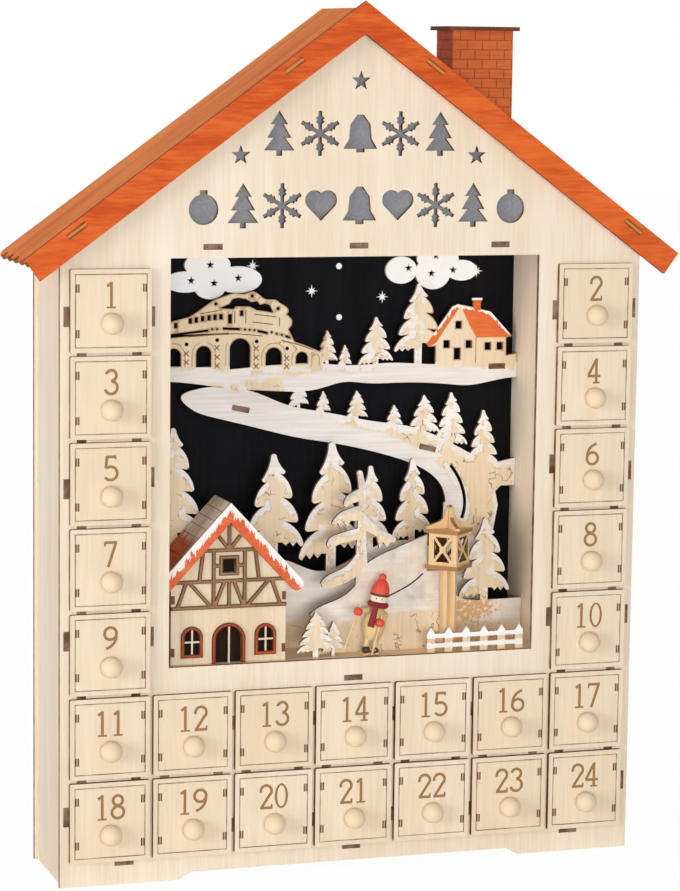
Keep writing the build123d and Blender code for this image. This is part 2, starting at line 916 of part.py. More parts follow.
def fir(share_x, share_z, width_share, height_share, tiers, trunk_share=fir_trunk_share):
    x, z = scene_point(share_x, share_z)
    width = width_share * niche_width
    height = height_share * niche_height
    with BuildLine() as outline:
        right_foot = fir_side(x, z, width, height, tiers, trunk_share, 1)
        left_foot = fir_side(x, z, width, height, tiers, trunk_share, -1)
        Line(right_foot, left_foot)
    make_face(outline.edges())


# Night sky board against the back panel, with two clouds glued on
with BuildPart() as sky_board:
    with BuildSketch(front_plane(sky_depth)):
        with Locations((0, stage_top + niche_height / 2)):
            Rectangle(niche_width, niche_height)
    extrude(amount=-thin_ply)
save(sky_board.part, "sky_board")

cloud_lobe_shares = {
    -1: [
        (-0.357, 0.904, 0.052, 0.026),
        (-0.302, 0.945, 0.058, 0.032),
        (-0.225, 0.908, 0.061, 0.033),
        (-0.295, 0.888, 0.038, 0.027),
    ],
    1: [
        (0.197, 0.927, 0.041, 0.034),
        (0.281, 0.92, 0.046, 0.042),
        (0.357, 0.925, 0.041, 0.026),
        (0.293, 0.955, 0.055, 0.03),
    ],
}
cloud_star_shares = {
    -1: [(-0.295, 0.945), (-0.343, 0.907), (-0.285, 0.9), (-0.224, 0.912)],
    1: [(0.288, 0.962), (0.216, 0.932), (0.277, 0.918), (0.334, 0.926)],
}
cloud_star_radius = 2.5


def cloud(hand):
    with BuildPart() as puff:
        with BuildSketch(front_plane(sky_depth - thin_ply)):
            for share_x, share_z, reach_x, reach_z in cloud_lobe_shares[hand]:
                with Locations(scene_point(share_x, share_z)):
                    Ellipse(reach_x * niche_width, reach_z * niche_height)
            for star_share in cloud_star_shares[hand]:
                with Locations(scene_point(*star_share)):
                    Polygon(*star_outline(cloud_star_radius, star_points), align=None, mode=Mode.SUBTRACT)
        extrude(amount=-thin_ply)
    return puff.part


save(group("clouds", [cloud(-1), cloud(1)]), "clouds")

# Village layer: viaduct with a steam train, snow bank, firs, cottage and the winding road
bank_top_shares = [
    (-0.499, 0.7),
    (-0.25, 0.69),
    (-0.02, 0.7),
    (0.062, 0.694),
    (0.162, 0.698),
    (0.281, 0.692),
    (0.39, 0.7),
    (0.499, 0.716),
]
bank_foot_shares = [
    (0.499, 0.655),
    (0.443, 0.649),
    (0.376, 0.638),
    (0.309, 0.642),
    (0.189, 0.648),
    (0.097, 0.649),
    (0.045, 0.653),
    (-0.02, 0.638),
    (-0.16, 0.636),
    (-0.24, 0.642),
    (-0.31, 0.652),
    (-0.499, 0.66),
]
road_top_shares = [
    (-0.27, 0.645),
    (-0.175, 0.628),
    (-0.11, 0.601),
    (0.007, 0.576),
    (0.117, 0.553),
    (0.223, 0.535),
    (0.33, 0.49),
    (0.43, 0.435),
]
road_foot_shares = [
    (0.31, 0.296),
    (0.314, 0.347),
    (0.3, 0.388),
    (0.267, 0.42),
    (0.206, 0.45),
    (0.126, 0.475),
    (0.013, 0.501),
    (-0.071, 0.516),
    (-0.2, 0.549),
    (-0.297, 0.574),
    (-0.353, 0.598),
    (-0.374, 0.624),
    (-0.34, 0.642),
    (-0.29, 0.648),
]
road_end_shares = [
    (0.31, 0.34),
    (0.43, 0.44),
    (0.455, 0.33),
    (0.438, 0.24),
    (0.42, 0),
    (0.3, 0),
    (0.3, 0.2),
]
wall_tab_shares = [(0.4, 0.43), (0.485, 0.446), (0.499, 0.45), (0.499, 0.379), (0.462, 0.379), (0.43, 0.35)]
road_slit_shares = [(0.326, 0.436), (0.351, 0.397), (0.365, 0.35), (0.358, 0.299)]
road_slit_width = 2.0
viaduct_deck_shares = [
    (-0.499, 0.762),
    (-0.402, 0.77),
    (-0.316, 0.776),
    (-0.225, 0.777),
    (-0.151, 0.771),
    (-0.092, 0.757),
    (-0.015, 0.727),
]
viaduct_foot_shares = [(-0.01, 0.66), (-0.499, 0.67)]
arch_shares = [
    (-0.455, 0.036, 0.742, 0.702),
    (-0.393, 0.036, 0.744, 0.7),
    (-0.318, 0.038, 0.749, 0.697),
    (-0.226, 0.052, 0.766, 0.69),
    (-0.14, 0.041, 0.742, 0.683),
    (-0.068, 0.031, 0.73, 0.687),
]
carriage_shares = [
    (-0.499, 0.775),
    (-0.499, 0.783),
    (-0.402, 0.809),
    (-0.354, 0.821),
    (-0.317, 0.83),
    (-0.274, 0.839),
    (-0.238, 0.841),
    (-0.238, 0.78),
]
engine_shares = [
    (-0.26, 0.77),
    (-0.246, 0.8),
    (-0.24, 0.8),
    (-0.24, 0.845),
    (-0.2, 0.843),
    (-0.2, 0.832),
    (-0.123, 0.824),
    (-0.105, 0.822),
    (-0.094, 0.81),
    (-0.094, 0.797),
    (-0.103, 0.787),
    (-0.085, 0.752),
    (-0.15, 0.76),
]
running_gap_shares = [
    [(-0.47, 0.772), (-0.306, 0.79), (-0.306, 0.784), (-0.47, 0.767)],
    [(-0.27, 0.794), (-0.226, 0.792), (-0.226, 0.786), (-0.27, 0.788)],
    [(-0.182, 0.787), (-0.156, 0.781), (-0.156, 0.775), (-0.182, 0.781)],
    [(-0.111, 0.773), (-0.098, 0.768), (-0.098, 0.763), (-0.111, 0.767)],
]
carriage_door_shares = [(-0.257, 0.803), (-0.257, 0.826), (-0.247, 0.826), (-0.247, 0.803)]
window_shares = [
    (-0.388, 0.8),
    (-0.352, 0.811),
    (-0.337, 0.813),
    (-0.321, 0.816),
    (-0.305, 0.818),
    (-0.29, 0.819),
    (-0.275, 0.82),
]
carriage_window_shares = (0.0088, 0.0135)
cab_window_share = (-0.2225, 0.828)
wheel_hole_shares = [
    (-0.297, 0.79),
    (-0.284, 0.79),
    (-0.214, 0.788),
    (-0.202, 0.787),
    (-0.19, 0.786),
    (-0.146, 0.78),
    (-0.133, 0.776),
    (-0.12, 0.773),
]
wheel_hole_share = 0.0028
smoke_top_shares = [
    (-0.352, 0.822),
    (-0.321, 0.842),
    (-0.289, 0.862),
    (-0.26, 0.872),
    (-0.237, 0.877),
    (-0.214, 0.875),
    (-0.195, 0.881),
    (-0.177, 0.872),
    (-0.16, 0.861),
    (-0.138, 0.86),
    (-0.122, 0.85),
    (-0.105, 0.838),
    (-0.103, 0.829),
]
smoke_foot_shares = [(-0.114, 0.818), (-0.213, 0.815), (-0.35, 0.81)]
smoke_void_shares = [
    (-0.28, 0.841),
    (-0.254, 0.851),
    (-0.246, 0.863),
    (-0.231, 0.866),
    (-0.21, 0.862),
    (-0.199, 0.855),
    (-0.184, 0.857),
    (-0.176, 0.848),
    (-0.163, 0.851),
    (-0.151, 0.847),
    (-0.142, 0.828),
    (-0.158, 0.831),
    (-0.184, 0.835),
    (-0.202, 0.844),
    (-0.237, 0.845),
    (-0.243, 0.838),
]
smoke_hole_shares = [(-0.288, 0.852), (-0.196, 0.87), (-0.13, 0.838)]
smoke_hole_share = 0.0042
cottage_shares = [
    (0.281, 0.68),
    (0.281, 0.738),
    (0.262, 0.736),
    (0.258, 0.745),
    (0.324, 0.836),
    (0.34, 0.842),
    (0.38, 0.834),
    (0.38, 0.849),
    (0.376, 0.852),
    (0.376, 0.857),
    (0.403, 0.857),
    (0.403, 0.852),
    (0.399, 0.849),
    (0.399, 0.829),
    (0.426, 0.822),
    (0.484, 0.76),
    (0.469, 0.756),
    (0.469, 0.68),
]
cottage_window_shares = [(0.341, 0.79), (0.31, 0.742), (0.369, 0.741), (0.42, 0.735), (0.452, 0.735)]
cottage_window_size_shares = (0.016, 0.019)
cottage_door_shares = [(0.33, 0.703), (0.33, 0.732), (0.347, 0.732), (0.347, 0.703)]
village_fir_shares = [
    (-0.003, 0.69, 0.055, 0.092, 4),
    (0.043, 0.685, 0.036, 0.06, 3),
    (0.124, 0.68, 0.09, 0.133, 4),
    (0.235, 0.68, 0.126, 0.215, 4, 0.24),
    (-0.075, 0.585, 0.052, 0.085, 4),
    (-0.012, 0.57, 0.04, 0.061, 3),
    (0.076, 0.55, 0.058, 0.08, 4),
    (0.174, 0.53, 0.046, 0.062, 3),
    (0.253, 0.5, 0.085, 0.115, 4),
    (0.325, 0.46, 0.09, 0.16, 5),
    (0.412, 0.4, 0.088, 0.173, 5),
]
strut_shares = [(-0.223, 0.592, -12), (0.264, 0.481, -14), (0.445, 0.684, 0)]

with BuildPart() as village_layer:
    with BuildSketch(front_plane(village_depth)):
        smooth_face(viaduct_deck_shares, viaduct_foot_shares)
        for arch_x, arch_width, arch_top, arch_foot in arch_shares:
            left, foot = scene_point(arch_x - arch_width / 2, arch_foot)
            right, top = scene_point(arch_x + arch_width / 2, arch_top)
            spring = top - (right - left) / 2
            with BuildLine():
                Polyline((right, spring), (right, foot), (left, foot), (left, spring))
                ThreePointArc((left, spring), ((left + right) / 2, top), (right, spring))
            make_face(mode=Mode.SUBTRACT)
        polygon_face(scene_outline(carriage_shares))
        polygon_face(scene_outline(engine_shares))
        smooth_face(smoke_top_shares, smoke_foot_shares)
        for gap_shares in [smoke_void_shares, carriage_door_shares, *running_gap_shares]:
            polygon_face(scene_outline(gap_shares), mode=Mode.SUBTRACT)
        with Locations(*scene_outline(smoke_hole_shares)):
            Circle(smoke_hole_share * niche_width, mode=Mode.SUBTRACT)
        with Locations(*scene_outline(wheel_hole_shares)):
            Circle(wheel_hole_share * niche_width, mode=Mode.SUBTRACT)
        with Locations(*[scene_point(*share) for share in [*window_shares, cab_window_share]]):
            Rectangle(
                carriage_window_shares[0] * niche_width,
                carriage_window_shares[1] * niche_height,
                mode=Mode.SUBTRACT,
            )
        smooth_face(bank_top_shares, bank_foot_shares)
        smooth_face(road_top_shares, road_foot_shares)
        polygon_face(scene_outline(road_end_shares))
        polygon_face(scene_outline(wall_tab_shares))
        polygon_face(scene_outline(cottage_shares))
        with Locations(*[scene_point(*share) for share in cottage_window_shares]):
            Rectangle(
                cottage_window_size_shares[0] * niche_width,
                cottage_window_size_shares[1] * niche_height,
                mode=Mode.SUBTRACT,
            )
        polygon_face(scene_outline(cottage_door_shares), mode=Mode.SUBTRACT)
        for fir_share in village_fir_shares:
            fir(*fir_share)
        with BuildLine():
            Spline(*scene_outline(road_slit_shares))
        trace(line_width=road_slit_width, mode=Mode.SUBTRACT)
        for strut_x, strut_z, strut_tilt in strut_shares:
            with Locations(scene_point(strut_x, strut_z)):
                Rectangle(
                    strut_width + 2 * joint_gap,
                    ply + 2 * joint_gap,
                    rotation=strut_tilt,
                    mode=Mode.SUBTRACT,
                )
    extrude(amount=-thin_ply)
save(village_layer.part, "village_layer")


# Struts carry the village layer off the sky board and show as brown tenon ends
def strut(share_x, share_z, tilt):
    with BuildPart() as bar:
        with BuildSketch(front_plane(village_depth)):
            with Locations(scene_point(share_x, share_z)):
                Rectangle(strut_width, ply, rotation=tilt)
        extrude(amount=-(sky_depth - village_depth))
    return bar.part


save(group("layer_struts", [strut(*share) for share in strut_shares]), "layer_struts")

# Tree hill: firs in the middle distance on one snowy plate
trees_ground_shares = [
    (-0.499, 0.3),
    (-0.4, 0.25),
    (-0.25, 0.21),
    (-0.135, 0.224),
    (-0.039, 0.19),
    (0.083, 0.235),
    (0.161, 0.258),
    (0.25, 0.24),
    (0.33, 0.11),
    (0.4, 0.098),
    (0.499, 0.1),
]
trees_foot_shares = [(0.499, 0), (-0.499, 0)]
trees_fir_shares = [
    (-0.409, 0.235, 0.15, 0.322, 5),
    (-0.155, 0.205, 0.155, 0.281, 4),
    (-0.006, 0.185, 0.165, 0.326, 4),
    (0.095, 0.22, 0.1, 0.229, 4),
    (0.204, 0.235, 0.105, 0.228, 4),
    (0.399, 0.08, 0.135, 0.227, 4),
]
with BuildPart() as tree_hill:
    with BuildSketch(front_plane(trees_depth)):
        smooth_face(trees_ground_shares, trees_foot_shares)
        for fir_share in trees_fir_shares:
            fir(*fir_share)
    extrude(amount=-thin_ply)
save(tree_hill.part, "tree_hill")

# Front hill: a large fir with long hanging boughs, a curved slit and a low shoulder that clears the lantern
hill_ground_shares = [
    (0.045, 0.21),
    (0.083, 0.234),
    (0.105, 0.244),
    (0.135, 0.256),
    (0.181, 0.274),
    (0.214, 0.286),
]
hill_foot_shares = [(0.214, 0), (0.04, 0)]
hill_left_shares = [
    (0.05, 0.185),
    (0.032, 0.169),
    (0.012, 0.15),
    (-0.018, 0.133),
    (-0.063, 0.116),
    (-0.086, 0.1),
]
hill_end_shares = [(-0.083, 0.087), (-0.074, 0.05), (-0.07, 0)]
hill_fill_shares = [(-0.071, 0), (0.05, 0), (0.05, 0.186)]
hill_shoulder_shares = [(0.18, 0), (0.18, 0.195), (0.25, 0.195), (0.252, 0.12), (0.26, 0.03), (0.26, 0)]
hill_trunk_shares = [
    [(0.044, 0.444), (0.052, 0.405), (0.054, 0.34), (0.056, 0.265), (0.06, 0.21), (0.062, 0.1)],
    [(0.03, 0.1), (0.03, 0.2), (0.031, 0.262), (0.034, 0.33), (0.035, 0.4), (0.03, 0.444)],
]
hill_top_shares = (0.037, 0.444, 0.0072)
hill_bough_shares = [
    (
        [(0.045, 0.412), (0.027, 0.402), (0.009, 0.392), (-0.001, 0.379), (-0.003, 0.367)],
        [(0.002, 0.361), (0.02, 0.371), (0.045, 0.374)],
    ),
    (
        [(0.045, 0.366), (0.009, 0.357), (-0.017, 0.344), (-0.03, 0.329), (-0.033, 0.322)],
        [(-0.028, 0.316), (-0.017, 0.325), (0.01, 0.328), (0.045, 0.331)],
    ),
    (
        [(0.045, 0.311), (0.01, 0.303), (-0.016, 0.296), (-0.037, 0.287), (-0.045, 0.268)],
        [(-0.039, 0.259), (-0.02, 0.268), (0.01, 0.277), (0.045, 0.281)],
    ),
    (
        [(0.045, 0.262), (0.029, 0.242), (0.01, 0.22), (-0.015, 0.205), (-0.045, 0.192), (-0.06, 0.176)],
        [(-0.055, 0.166), (-0.045, 0.164), (-0.015, 0.168), (0.027, 0.186), (0.045, 0.2)],
    ),
    (
        [(0.045, 0.347), (0.07, 0.322), (0.1, 0.299), (0.126, 0.285), (0.134, 0.278)],
        [(0.13, 0.27), (0.1, 0.276), (0.075, 0.29), (0.045, 0.304)],
    ),
]
hill_icicle_shares = [
    [(-0.022, 0.33), (-0.012, 0.312), (-0.004, 0.327), (0.006, 0.313), (0.016, 0.329), (0.02, 0.335)],
    [(0.08, 0.292), (0.09, 0.256), (0.099, 0.272), (0.109, 0.257), (0.118, 0.272), (0.12, 0.282)],
]
hill_slit_shares = [(0.114, 0.136), (0.148, 0.151), (0.182, 0.171), (0.203, 0.189)]
with BuildPart() as front_hill:
    with BuildSketch(front_plane(hill_depth)):
        smooth_face(hill_ground_shares, hill_foot_shares)
        smooth_face(hill_left_shares, hill_end_shares)
        polygon_face(scene_outline(hill_fill_shares))
        polygon_face(scene_outline(hill_shoulder_shares))
        smooth_face(*hill_trunk_shares)
        with Locations(scene_point(*hill_top_shares[:2])):
            Circle(hill_top_shares[2] * niche_width)
        for bough in hill_bough_shares:
            smooth_face(*bough)
        for icicles in hill_icicle_shares:
            polygon_face(scene_outline(icicles))
        with BuildLine():
            Spline(*scene_outline(hill_slit_shares))
        trace(line_width=slit_width, mode=Mode.SUBTRACT)
    extrude(amount=-thin_ply)
save(front_hill.part, "front_hill")

# Half-timbered house: bargeboard in front of the roof slabs, overlay, then the walls
house_x = -house_offset
house_slope = math.radians(house_pitch)
house_rate = math.tan(house_slope)
overlay_depth = house_depth + thin_ply
wall_depth = overlay_depth + veneer
house_back_depth = overlay_depth + house_length
house_half = house_width / 2
house_eave_z = stage_top + house_wall_height
house_gable_z = house_eave_z + house_half * house_rate
slab_top_z = house_gable_z + thin_ply / math.cos(house_slope)
slab_run = (house_half + bargeboard_reach) / math.cos(house_slope)


def gable_face(foot_z):
    polygon_face(
        [
            (house_x - house_half, foot_z),
            (house_x - house_half, house_eave_z),
            (house_x, house_gable_z),
            (house_x + house_half, house_eave_z),
            (house_x + house_half, foot_z),
        ]
    )


def arch_face(x, foot_z, width, height, mode=Mode.ADD):
    spring_z = foot_z + height - width / 2
    left = x - width / 2
    right = x + width / 2
    with BuildLine() as outline:
        Polyline((right, spring_z), (right, foot_z), (left, foot_z), (left, spring_z))
        ThreePointArc((left, spring_z), (x, foot_z + height), (right, spring_z))
    make_face(outline.edges(), mode=mode)


pane_xs = (house_x - pane_offset, house_x + pane_offset)
pane_foot = stage_top + pane_sill
attic_beam_share = 0.34
middle_beam_share = 0.9
lower_beam_share = 0.62
pane_bar_share = 0.65
attic_beam_z = house_eave_z + (house_gable_z - house_eave_z) * attic_beam_share
middle_beam_z = stage_top + house_wall_height * middle_beam_share
gable_window_z = (middle_beam_z + attic_beam_z) / 2
lower_beam_z = stage_top + house_wall_height * lower_beam_share
tab_size = house_tab + 2 * joint_gap

with BuildPart() as house_front:
    with BuildSketch(front_plane(wall_depth)):
        gable_face(stage_top)
        arch_face(house_x, stage_top, door_width, door_height, Mode.SUBTRACT)
        for pane_x in pane_xs:
            arch_face(pane_x, pane_foot, pane_width, pane_height, Mode.SUBTRACT)
        with Locations((house_x, gable_window_z)):
            Rectangle(gable_window, gable_window, mode=Mode.SUBTRACT)
        for tab_height in house_tab_heights:
            for hand in (-1, 1):
                with Locations((house_x + hand * (house_half - thin_ply / 2), stage_top + tab_height)):
                    Rectangle(thin_ply, tab_size, mode=Mode.SUBTRACT)
    extrude(amount=-thin_ply)
save(house_front.part, "house_front")

house_side_length = house_back_depth - wall_depth - 2 * thin_ply
house_side_y = front_y + wall_depth + thin_ply + house_side_length / 2


def house_side(hand):
    outer = house_x + hand * house_half
    with BuildPart() as side:
        with BuildSketch(Plane.YZ.offset(min(outer, outer - hand * thin_ply))):
            with Locations((house_side_y, (stage_top + house_eave_z) / 2)):
                Rectangle(house_side_length, house_wall_height)
            with Locations(*[(house_side_y, stage_top + height) for height in house_tab_heights]):
                Rectangle(house_side_length + 2 * thin_ply, house_tab)
        extrude(amount=thin_ply)
    return side.part


with BuildPart() as house_back:
    with BuildSketch(front_plane(house_back_depth - thin_ply)):
        gable_face(stage_top)
        for tab_height in house_tab_heights:
            for hand in (-1, 1):
                with Locations((house_x + hand * (house_half - thin_ply / 2), stage_top + tab_height)):
                    Rectangle(thin_ply, tab_size, mode=Mode.SUBTRACT)
    extrude(amount=-thin_ply)
save(group("house_walls", [house_side(-1), house_side(1), house_back.part]), "house_walls")


def house_slab(hand):
    plane = Plane(
        origin=(house_x, front_y + overlay_depth, slab_top_z),
        x_dir=(hand * math.cos(house_slope), 0, -math.sin(house_slope)),
        z_dir=(hand * math.sin(house_slope), 0, math.cos(house_slope)),
    )
    with BuildPart() as slab:
        with BuildSketch(plane):
            with Locations((slab_run / 2, hand * house_length / 2)):
                Rectangle(slab_run, house_length)
        extrude(amount=-thin_ply)
        split(bisect_by=Plane.YZ.offset(house_x), keep=Keep.TOP if hand > 0 else Keep.BOTTOM)
    return slab.part


save(group("house_roof", [house_slab(-1), house_slab(1)]), "house_roof")


def on_house_slope(run, drop):
    return (
        run * math.cos(house_slope) - drop * math.sin(house_slope),
        slab_top_z - run * math.sin(house_slope) - drop * math.cos(house_slope),
    )


bargeboard_points = mirrored(
    [
        (0, slab_top_z),
        on_house_slope(slab_run, 0),
        on_house_slope(slab_run, bargeboard_width),
        (0, slab_top_z - bargeboard_width / math.cos(house_slope)),
    ]
)
with BuildPart() as house_bargeboard:
    with BuildSketch(front_plane(house_depth)) as barge_face:
        polygon_face([(house_x + x, z) for x, z in bargeboard_points])
        for end_x, end_z in mirrored([on_house_slope(slab_run, bargeboard_width / 2)]):
            with Locations((house_x + end_x, end_z)):
                Circle(bargeboard_width / 2)
    extrude(amount=-thin_ply)
save(house_bargeboard.part, "house_bargeboard")


def beam(start, end):
    with BuildLine() as centre_line:
        Line(start, end)
    trace(centre_line.edges(), line_width=beam_width)


# Beams as shares of half the house's width, each as its foot and top
lean_shares = (0.52, 0.45)
corner_shares = (0.895, 0.74)
brace_shares = (0.31, 0.7)
inner_shares = (0.25, 0.08)
post_share = 0.27
fan_share = 0.19
fan_rise_share = 0.34
fan_z = attic_beam_z + (house_gable_z - attic_beam_z) * fan_rise_share
with BuildPart() as timber_overlay:
    with BuildSketch(front_plane(overlay_depth)):
        beam((house_x - house_half, lower_beam_z), (house_x + house_half, lower_beam_z))
        beam((house_x - house_half, middle_beam_z), (house_x + house_half, middle_beam_z))
        attic_half = (house_gable_z - attic_beam_z) / house_rate
        beam((house_x - attic_half, attic_beam_z), (house_x + attic_half, attic_beam_z))
        for reach in (-house_half, house_half):
            post_x = house_x + reach * post_share
            beam((post_x, lower_beam_z), (post_x, attic_beam_z))
            beam((post_x, gable_window_z), (house_x, gable_window_z))
            beam((house_x, attic_beam_z), (house_x + reach * fan_share, fan_z))
            lean_foot, lean_top = [house_x + reach * share for share in lean_shares]
            beam((lean_foot, middle_beam_z), (lean_top, attic_beam_z))
            for shares in (corner_shares, brace_shares, inner_shares):
                foot_x, top_x = [house_x + reach * share for share in shares]
                beam((foot_x, lower_beam_z), (top_x, middle_beam_z))
        beam((house_x, attic_beam_z), (house_x, house_gable_z - beam_width))
        beam((house_x, lower_beam_z), (house_x, middle_beam_z))
        with Locations((house_x, gable_window_z)):
            Rectangle(gable_window + 2 * frame_width, gable_window + 2 * frame_width)
            Rectangle(gable_window, gable_window, mode=Mode.SUBTRACT)
        gable_trim = house_gable_z + beam_width
        polygon_face(
            [
                (house_x - house_half, house_eave_z),
                (house_x, house_gable_z),
                (house_x + house_half, house_eave_z),
                (house_x + house_half, gable_trim),
                (house_x - house_half, gable_trim),
            ],
            mode=Mode.SUBTRACT,
        )
    extrude(amount=-veneer)


def arched_frame(x, foot_z, width, height, bar_height):
    with BuildPart() as frame:
        with BuildSketch(front_plane(overlay_depth)):
            arch_face(x, foot_z, width + 2 * frame_width, height + frame_width)
            sill = frame_width if bar_height else 0
            arch_face(x, foot_z + sill, width, height - sill, Mode.SUBTRACT)
            with Locations((x, foot_z + height / 2)):
                Rectangle(cross_bar, height)
            if bar_height:
                with Locations((x, foot_z + bar_height)):
                    Rectangle(width, cross_bar)
        extrude(amount=-veneer)
    return frame.part


trim_pieces = [timber_overlay.part, arched_frame(house_x, stage_top, door_width, door_height, 0)]
trim_pieces += [
    arched_frame(
        pane_x,
        pane_foot - frame_width,
        pane_width,
        pane_height + frame_width,
        pane_height * pane_bar_share,
    )
    for pane_x in pane_xs
]
save(group("house_trim", trim_pieces), "house_trim")

# Lantern on a crossed post, turned about its own axis
lantern_spot = Plane(
    origin=(lantern_offset, front_y + lantern_depth, stage_top),
    x_dir=(math.cos(math.radians(lantern_turn)), math.sin(math.radians(lantern_turn)), 0),
    z_dir=(0, 0, 1),
)
plate_size = lantern_side + 2 * plate_overhang
pane_level = lantern_post_height + thin_ply


def lantern_upright(turn, centre_z):
    angle = math.radians(lantern_turn + turn)
    return Plane(
        origin=(lantern_offset, front_y + lantern_depth, stage_top + centre_z),
        x_dir=(math.cos(angle), math.sin(angle), 0),
        z_dir=(math.sin(angle), -math.cos(angle), 0),
    )


def post_blade(turn, halved):
    with BuildPart() as blade:
        with BuildSketch(lantern_upright(turn, lantern_post_height / 2).offset(-thin_ply / 2)):
            if halved:
                side_width = (post_width - thin_ply) / 2
                with Locations((halved * (side_width + thin_ply) / 2, 0)):
                    Rectangle(side_width, lantern_post_height)
            else:
                Rectangle(post_width, lantern_post_height)
        extrude(amount=thin_ply)
    return blade.part


def lantern_plate(level):
    with BuildPart() as plate:
        with BuildSketch(lantern_spot.offset(level)):
            Rectangle(plate_size, plate_size)
        extrude(amount=thin_ply)
    return plate.part


def lattice(turn):
    width = lantern_side if turn in (0, 180) else lantern_side - 2 * veneer
    inner_width_pane = width - 2 * lattice_border
    inner_height = lantern_pane - 2 * lattice_border
    diagonal = math.hypot(inner_width_pane, inner_height)
    lean = math.degrees(math.atan2(inner_height, inner_width_pane))
    with BuildPart() as pane:
        pane_plane = lantern_upright(turn, pane_level + lantern_pane / 2)
        with BuildSketch(pane_plane.offset(lantern_side / 2 - veneer)):
            Rectangle(width, lantern_pane)
            Rectangle(inner_width_pane, inner_height, mode=Mode.SUBTRACT)
            for hand in (-1, 1):
                Rectangle(diagonal, lattice_bar, rotation=hand * lean)
            Circle(lattice_boss)
        extrude(amount=veneer)
    return pane.part


ogee_shares = [(0.5, 0), (0.5, 0.12), (0.3, 0.26), (0.16, 0.42), (0.1, 0.66), (0.055, 0.94), (0, 1)]


def ogee(turn, halved):
    reach = plate_size * math.sqrt(2) - plate_overhang
    points = [(x * reach, z * ogee_height) for x, z in ogee_shares]
    level = pane_level + lantern_pane + thin_ply
    with BuildPart() as blade:
        with BuildSketch(lantern_upright(turn, level).offset(-thin_ply / 2)):
            with BuildLine():
                Polyline((0, 0), points[0], points[1])
                Spline(*points[1:])
                Line(points[-1], (0, 0))
            make_face()
            mirror(about=Plane.YZ)
            if halved:
                with Locations((0, ogee_height / 2)):
                    Rectangle(thin_ply + 2 * joint_gap, 2 * ogee_height, mode=Mode.SUBTRACT)
        extrude(amount=thin_ply)
    return blade.part


lantern_pieces = [post_blade(0, 0), post_blade(90, -1), post_blade(90, 1)]
lantern_pieces += [lantern_plate(lantern_post_height), lantern_plate(pane_level + lantern_pane)]
lantern_pieces += [lattice(turn) for turn in (0, 90, 180, 270)]
lantern_pieces += [ogee(45, False), ogee(135, True)]
save(group("lantern", lantern_pieces), "lantern")

# Picket fence cut from one sheet
picket_step = (fence_length - picket_width) / (picket_count - 1)
with BuildPart() as picket_fence:
    with BuildSketch(front_plane(fence_depth)):
        for picket in range(picket_count):
            picket_x = fence_offset - (fence_length - picket_width) / 2 + picket * picket_step
            shoulder = stage_top + picket_height - picket_point
            polygon_face(
                [
                    (picket_x - picket_width / 2, stage_top),
                    (picket_x - picket_width / 2, shoulder),
                    (picket_x, stage_top + picket_height),
                    (picket_x + picket_width / 2, shoulder),
                    (picket_x + picket_width / 2, stage_top),
                ]
            )
        for rail_level in rail_levels:
            with Locations((fence_offset, stage_top + rail_level + rail_height / 2)):
                Rectangle(fence_length, rail_height)
    extrude(amount=-thin_ply)
save(picket_fence.part, "picket_fence")

# Two small firs, each its own plate
small_fir_shares = [(-0.084, 0, 0.095, 0.112, 5), (-0.036, 0, 0.055, 0.084, 4)]


def small_fir(share, depth):
    with BuildPart() as plate:
        with BuildSketch(front_plane(depth)):
            fir(*share)
        extrude(amount=-thin_ply)
    return plate.part


small_firs = [small_fir(share, firs_depth + index * thin_ply) for index, share in enumerate(small_fir_shares)]
save(group("small_firs", small_firs), "small_firs")

# Skier: turned body, head and bobble hat on two skis, with mittens and poles
skier_x = skier_offset
skier_y = front_y + skier_depth
ski_top = stage_top + ski_thickness
boot_top = ski_top + boot_height
body_foot = boot_top + leg_height
body_top = body_foot + body_height
collar_top = body_top + collar_height
head_flat_share = 0.76
hat_line_share = 0.35
hat_brim_share = 1.05
head_centre = collar_top + head_radius * head_flat_share
hat_foot = head_centre + head_radius * hat_line_share
hat_radius = head_radius * hat_brim_share
hat_top = hat_foot + hat_height


def upright_rod(x, foot, top, radius):
    with BuildPart() as rod:
        with BuildSketch(Plane.XY.offset(foot)):
            with Locations((x, skier_y)):
                Circle(radius)
        extrude(amount=top - foot)
    return rod.part


skis = []
boots_and_legs = []
for hand in (-1, 1):
    leg_x = skier_x + hand * leg_spacing / 2
    with BuildPart() as ski:
        with BuildSketch(Plane.XY.offset(stage_top)):
            with Locations((leg_x, skier_y)):
                RectangleRounded(ski_width, ski_length, ski_width / 3)
        extrude(amount=ski_thickness)
    skis.append(ski.part)
    boots_and_legs.append(upright_rod(leg_x, ski_top, boot_top, boot_radius))
    boots_and_legs.append(upright_rod(leg_x, boot_top, body_foot, leg_radius))

body_bulge_shares = [(0.72, 0), (1.0, 0.3), (0.95, 0.6), (0.7, 1)]
with BuildPart() as skier_body:
    with BuildSketch(Plane.XZ):
        with BuildLine():
            body_points = [
                (share_r * body_radius, body_foot + share_z * body_height)
                for share_r, share_z in body_bulge_shares
            ]
            Polyline((0, body_top), (0, body_foot), body_points[0])
            Spline(*body_points)
            Line(body_points[-1], (0, body_top))
        make_face()
    revolve(axis=Axis.Z)
body = skier_body.part.moved(Location((skier_x, skier_y, 0)))

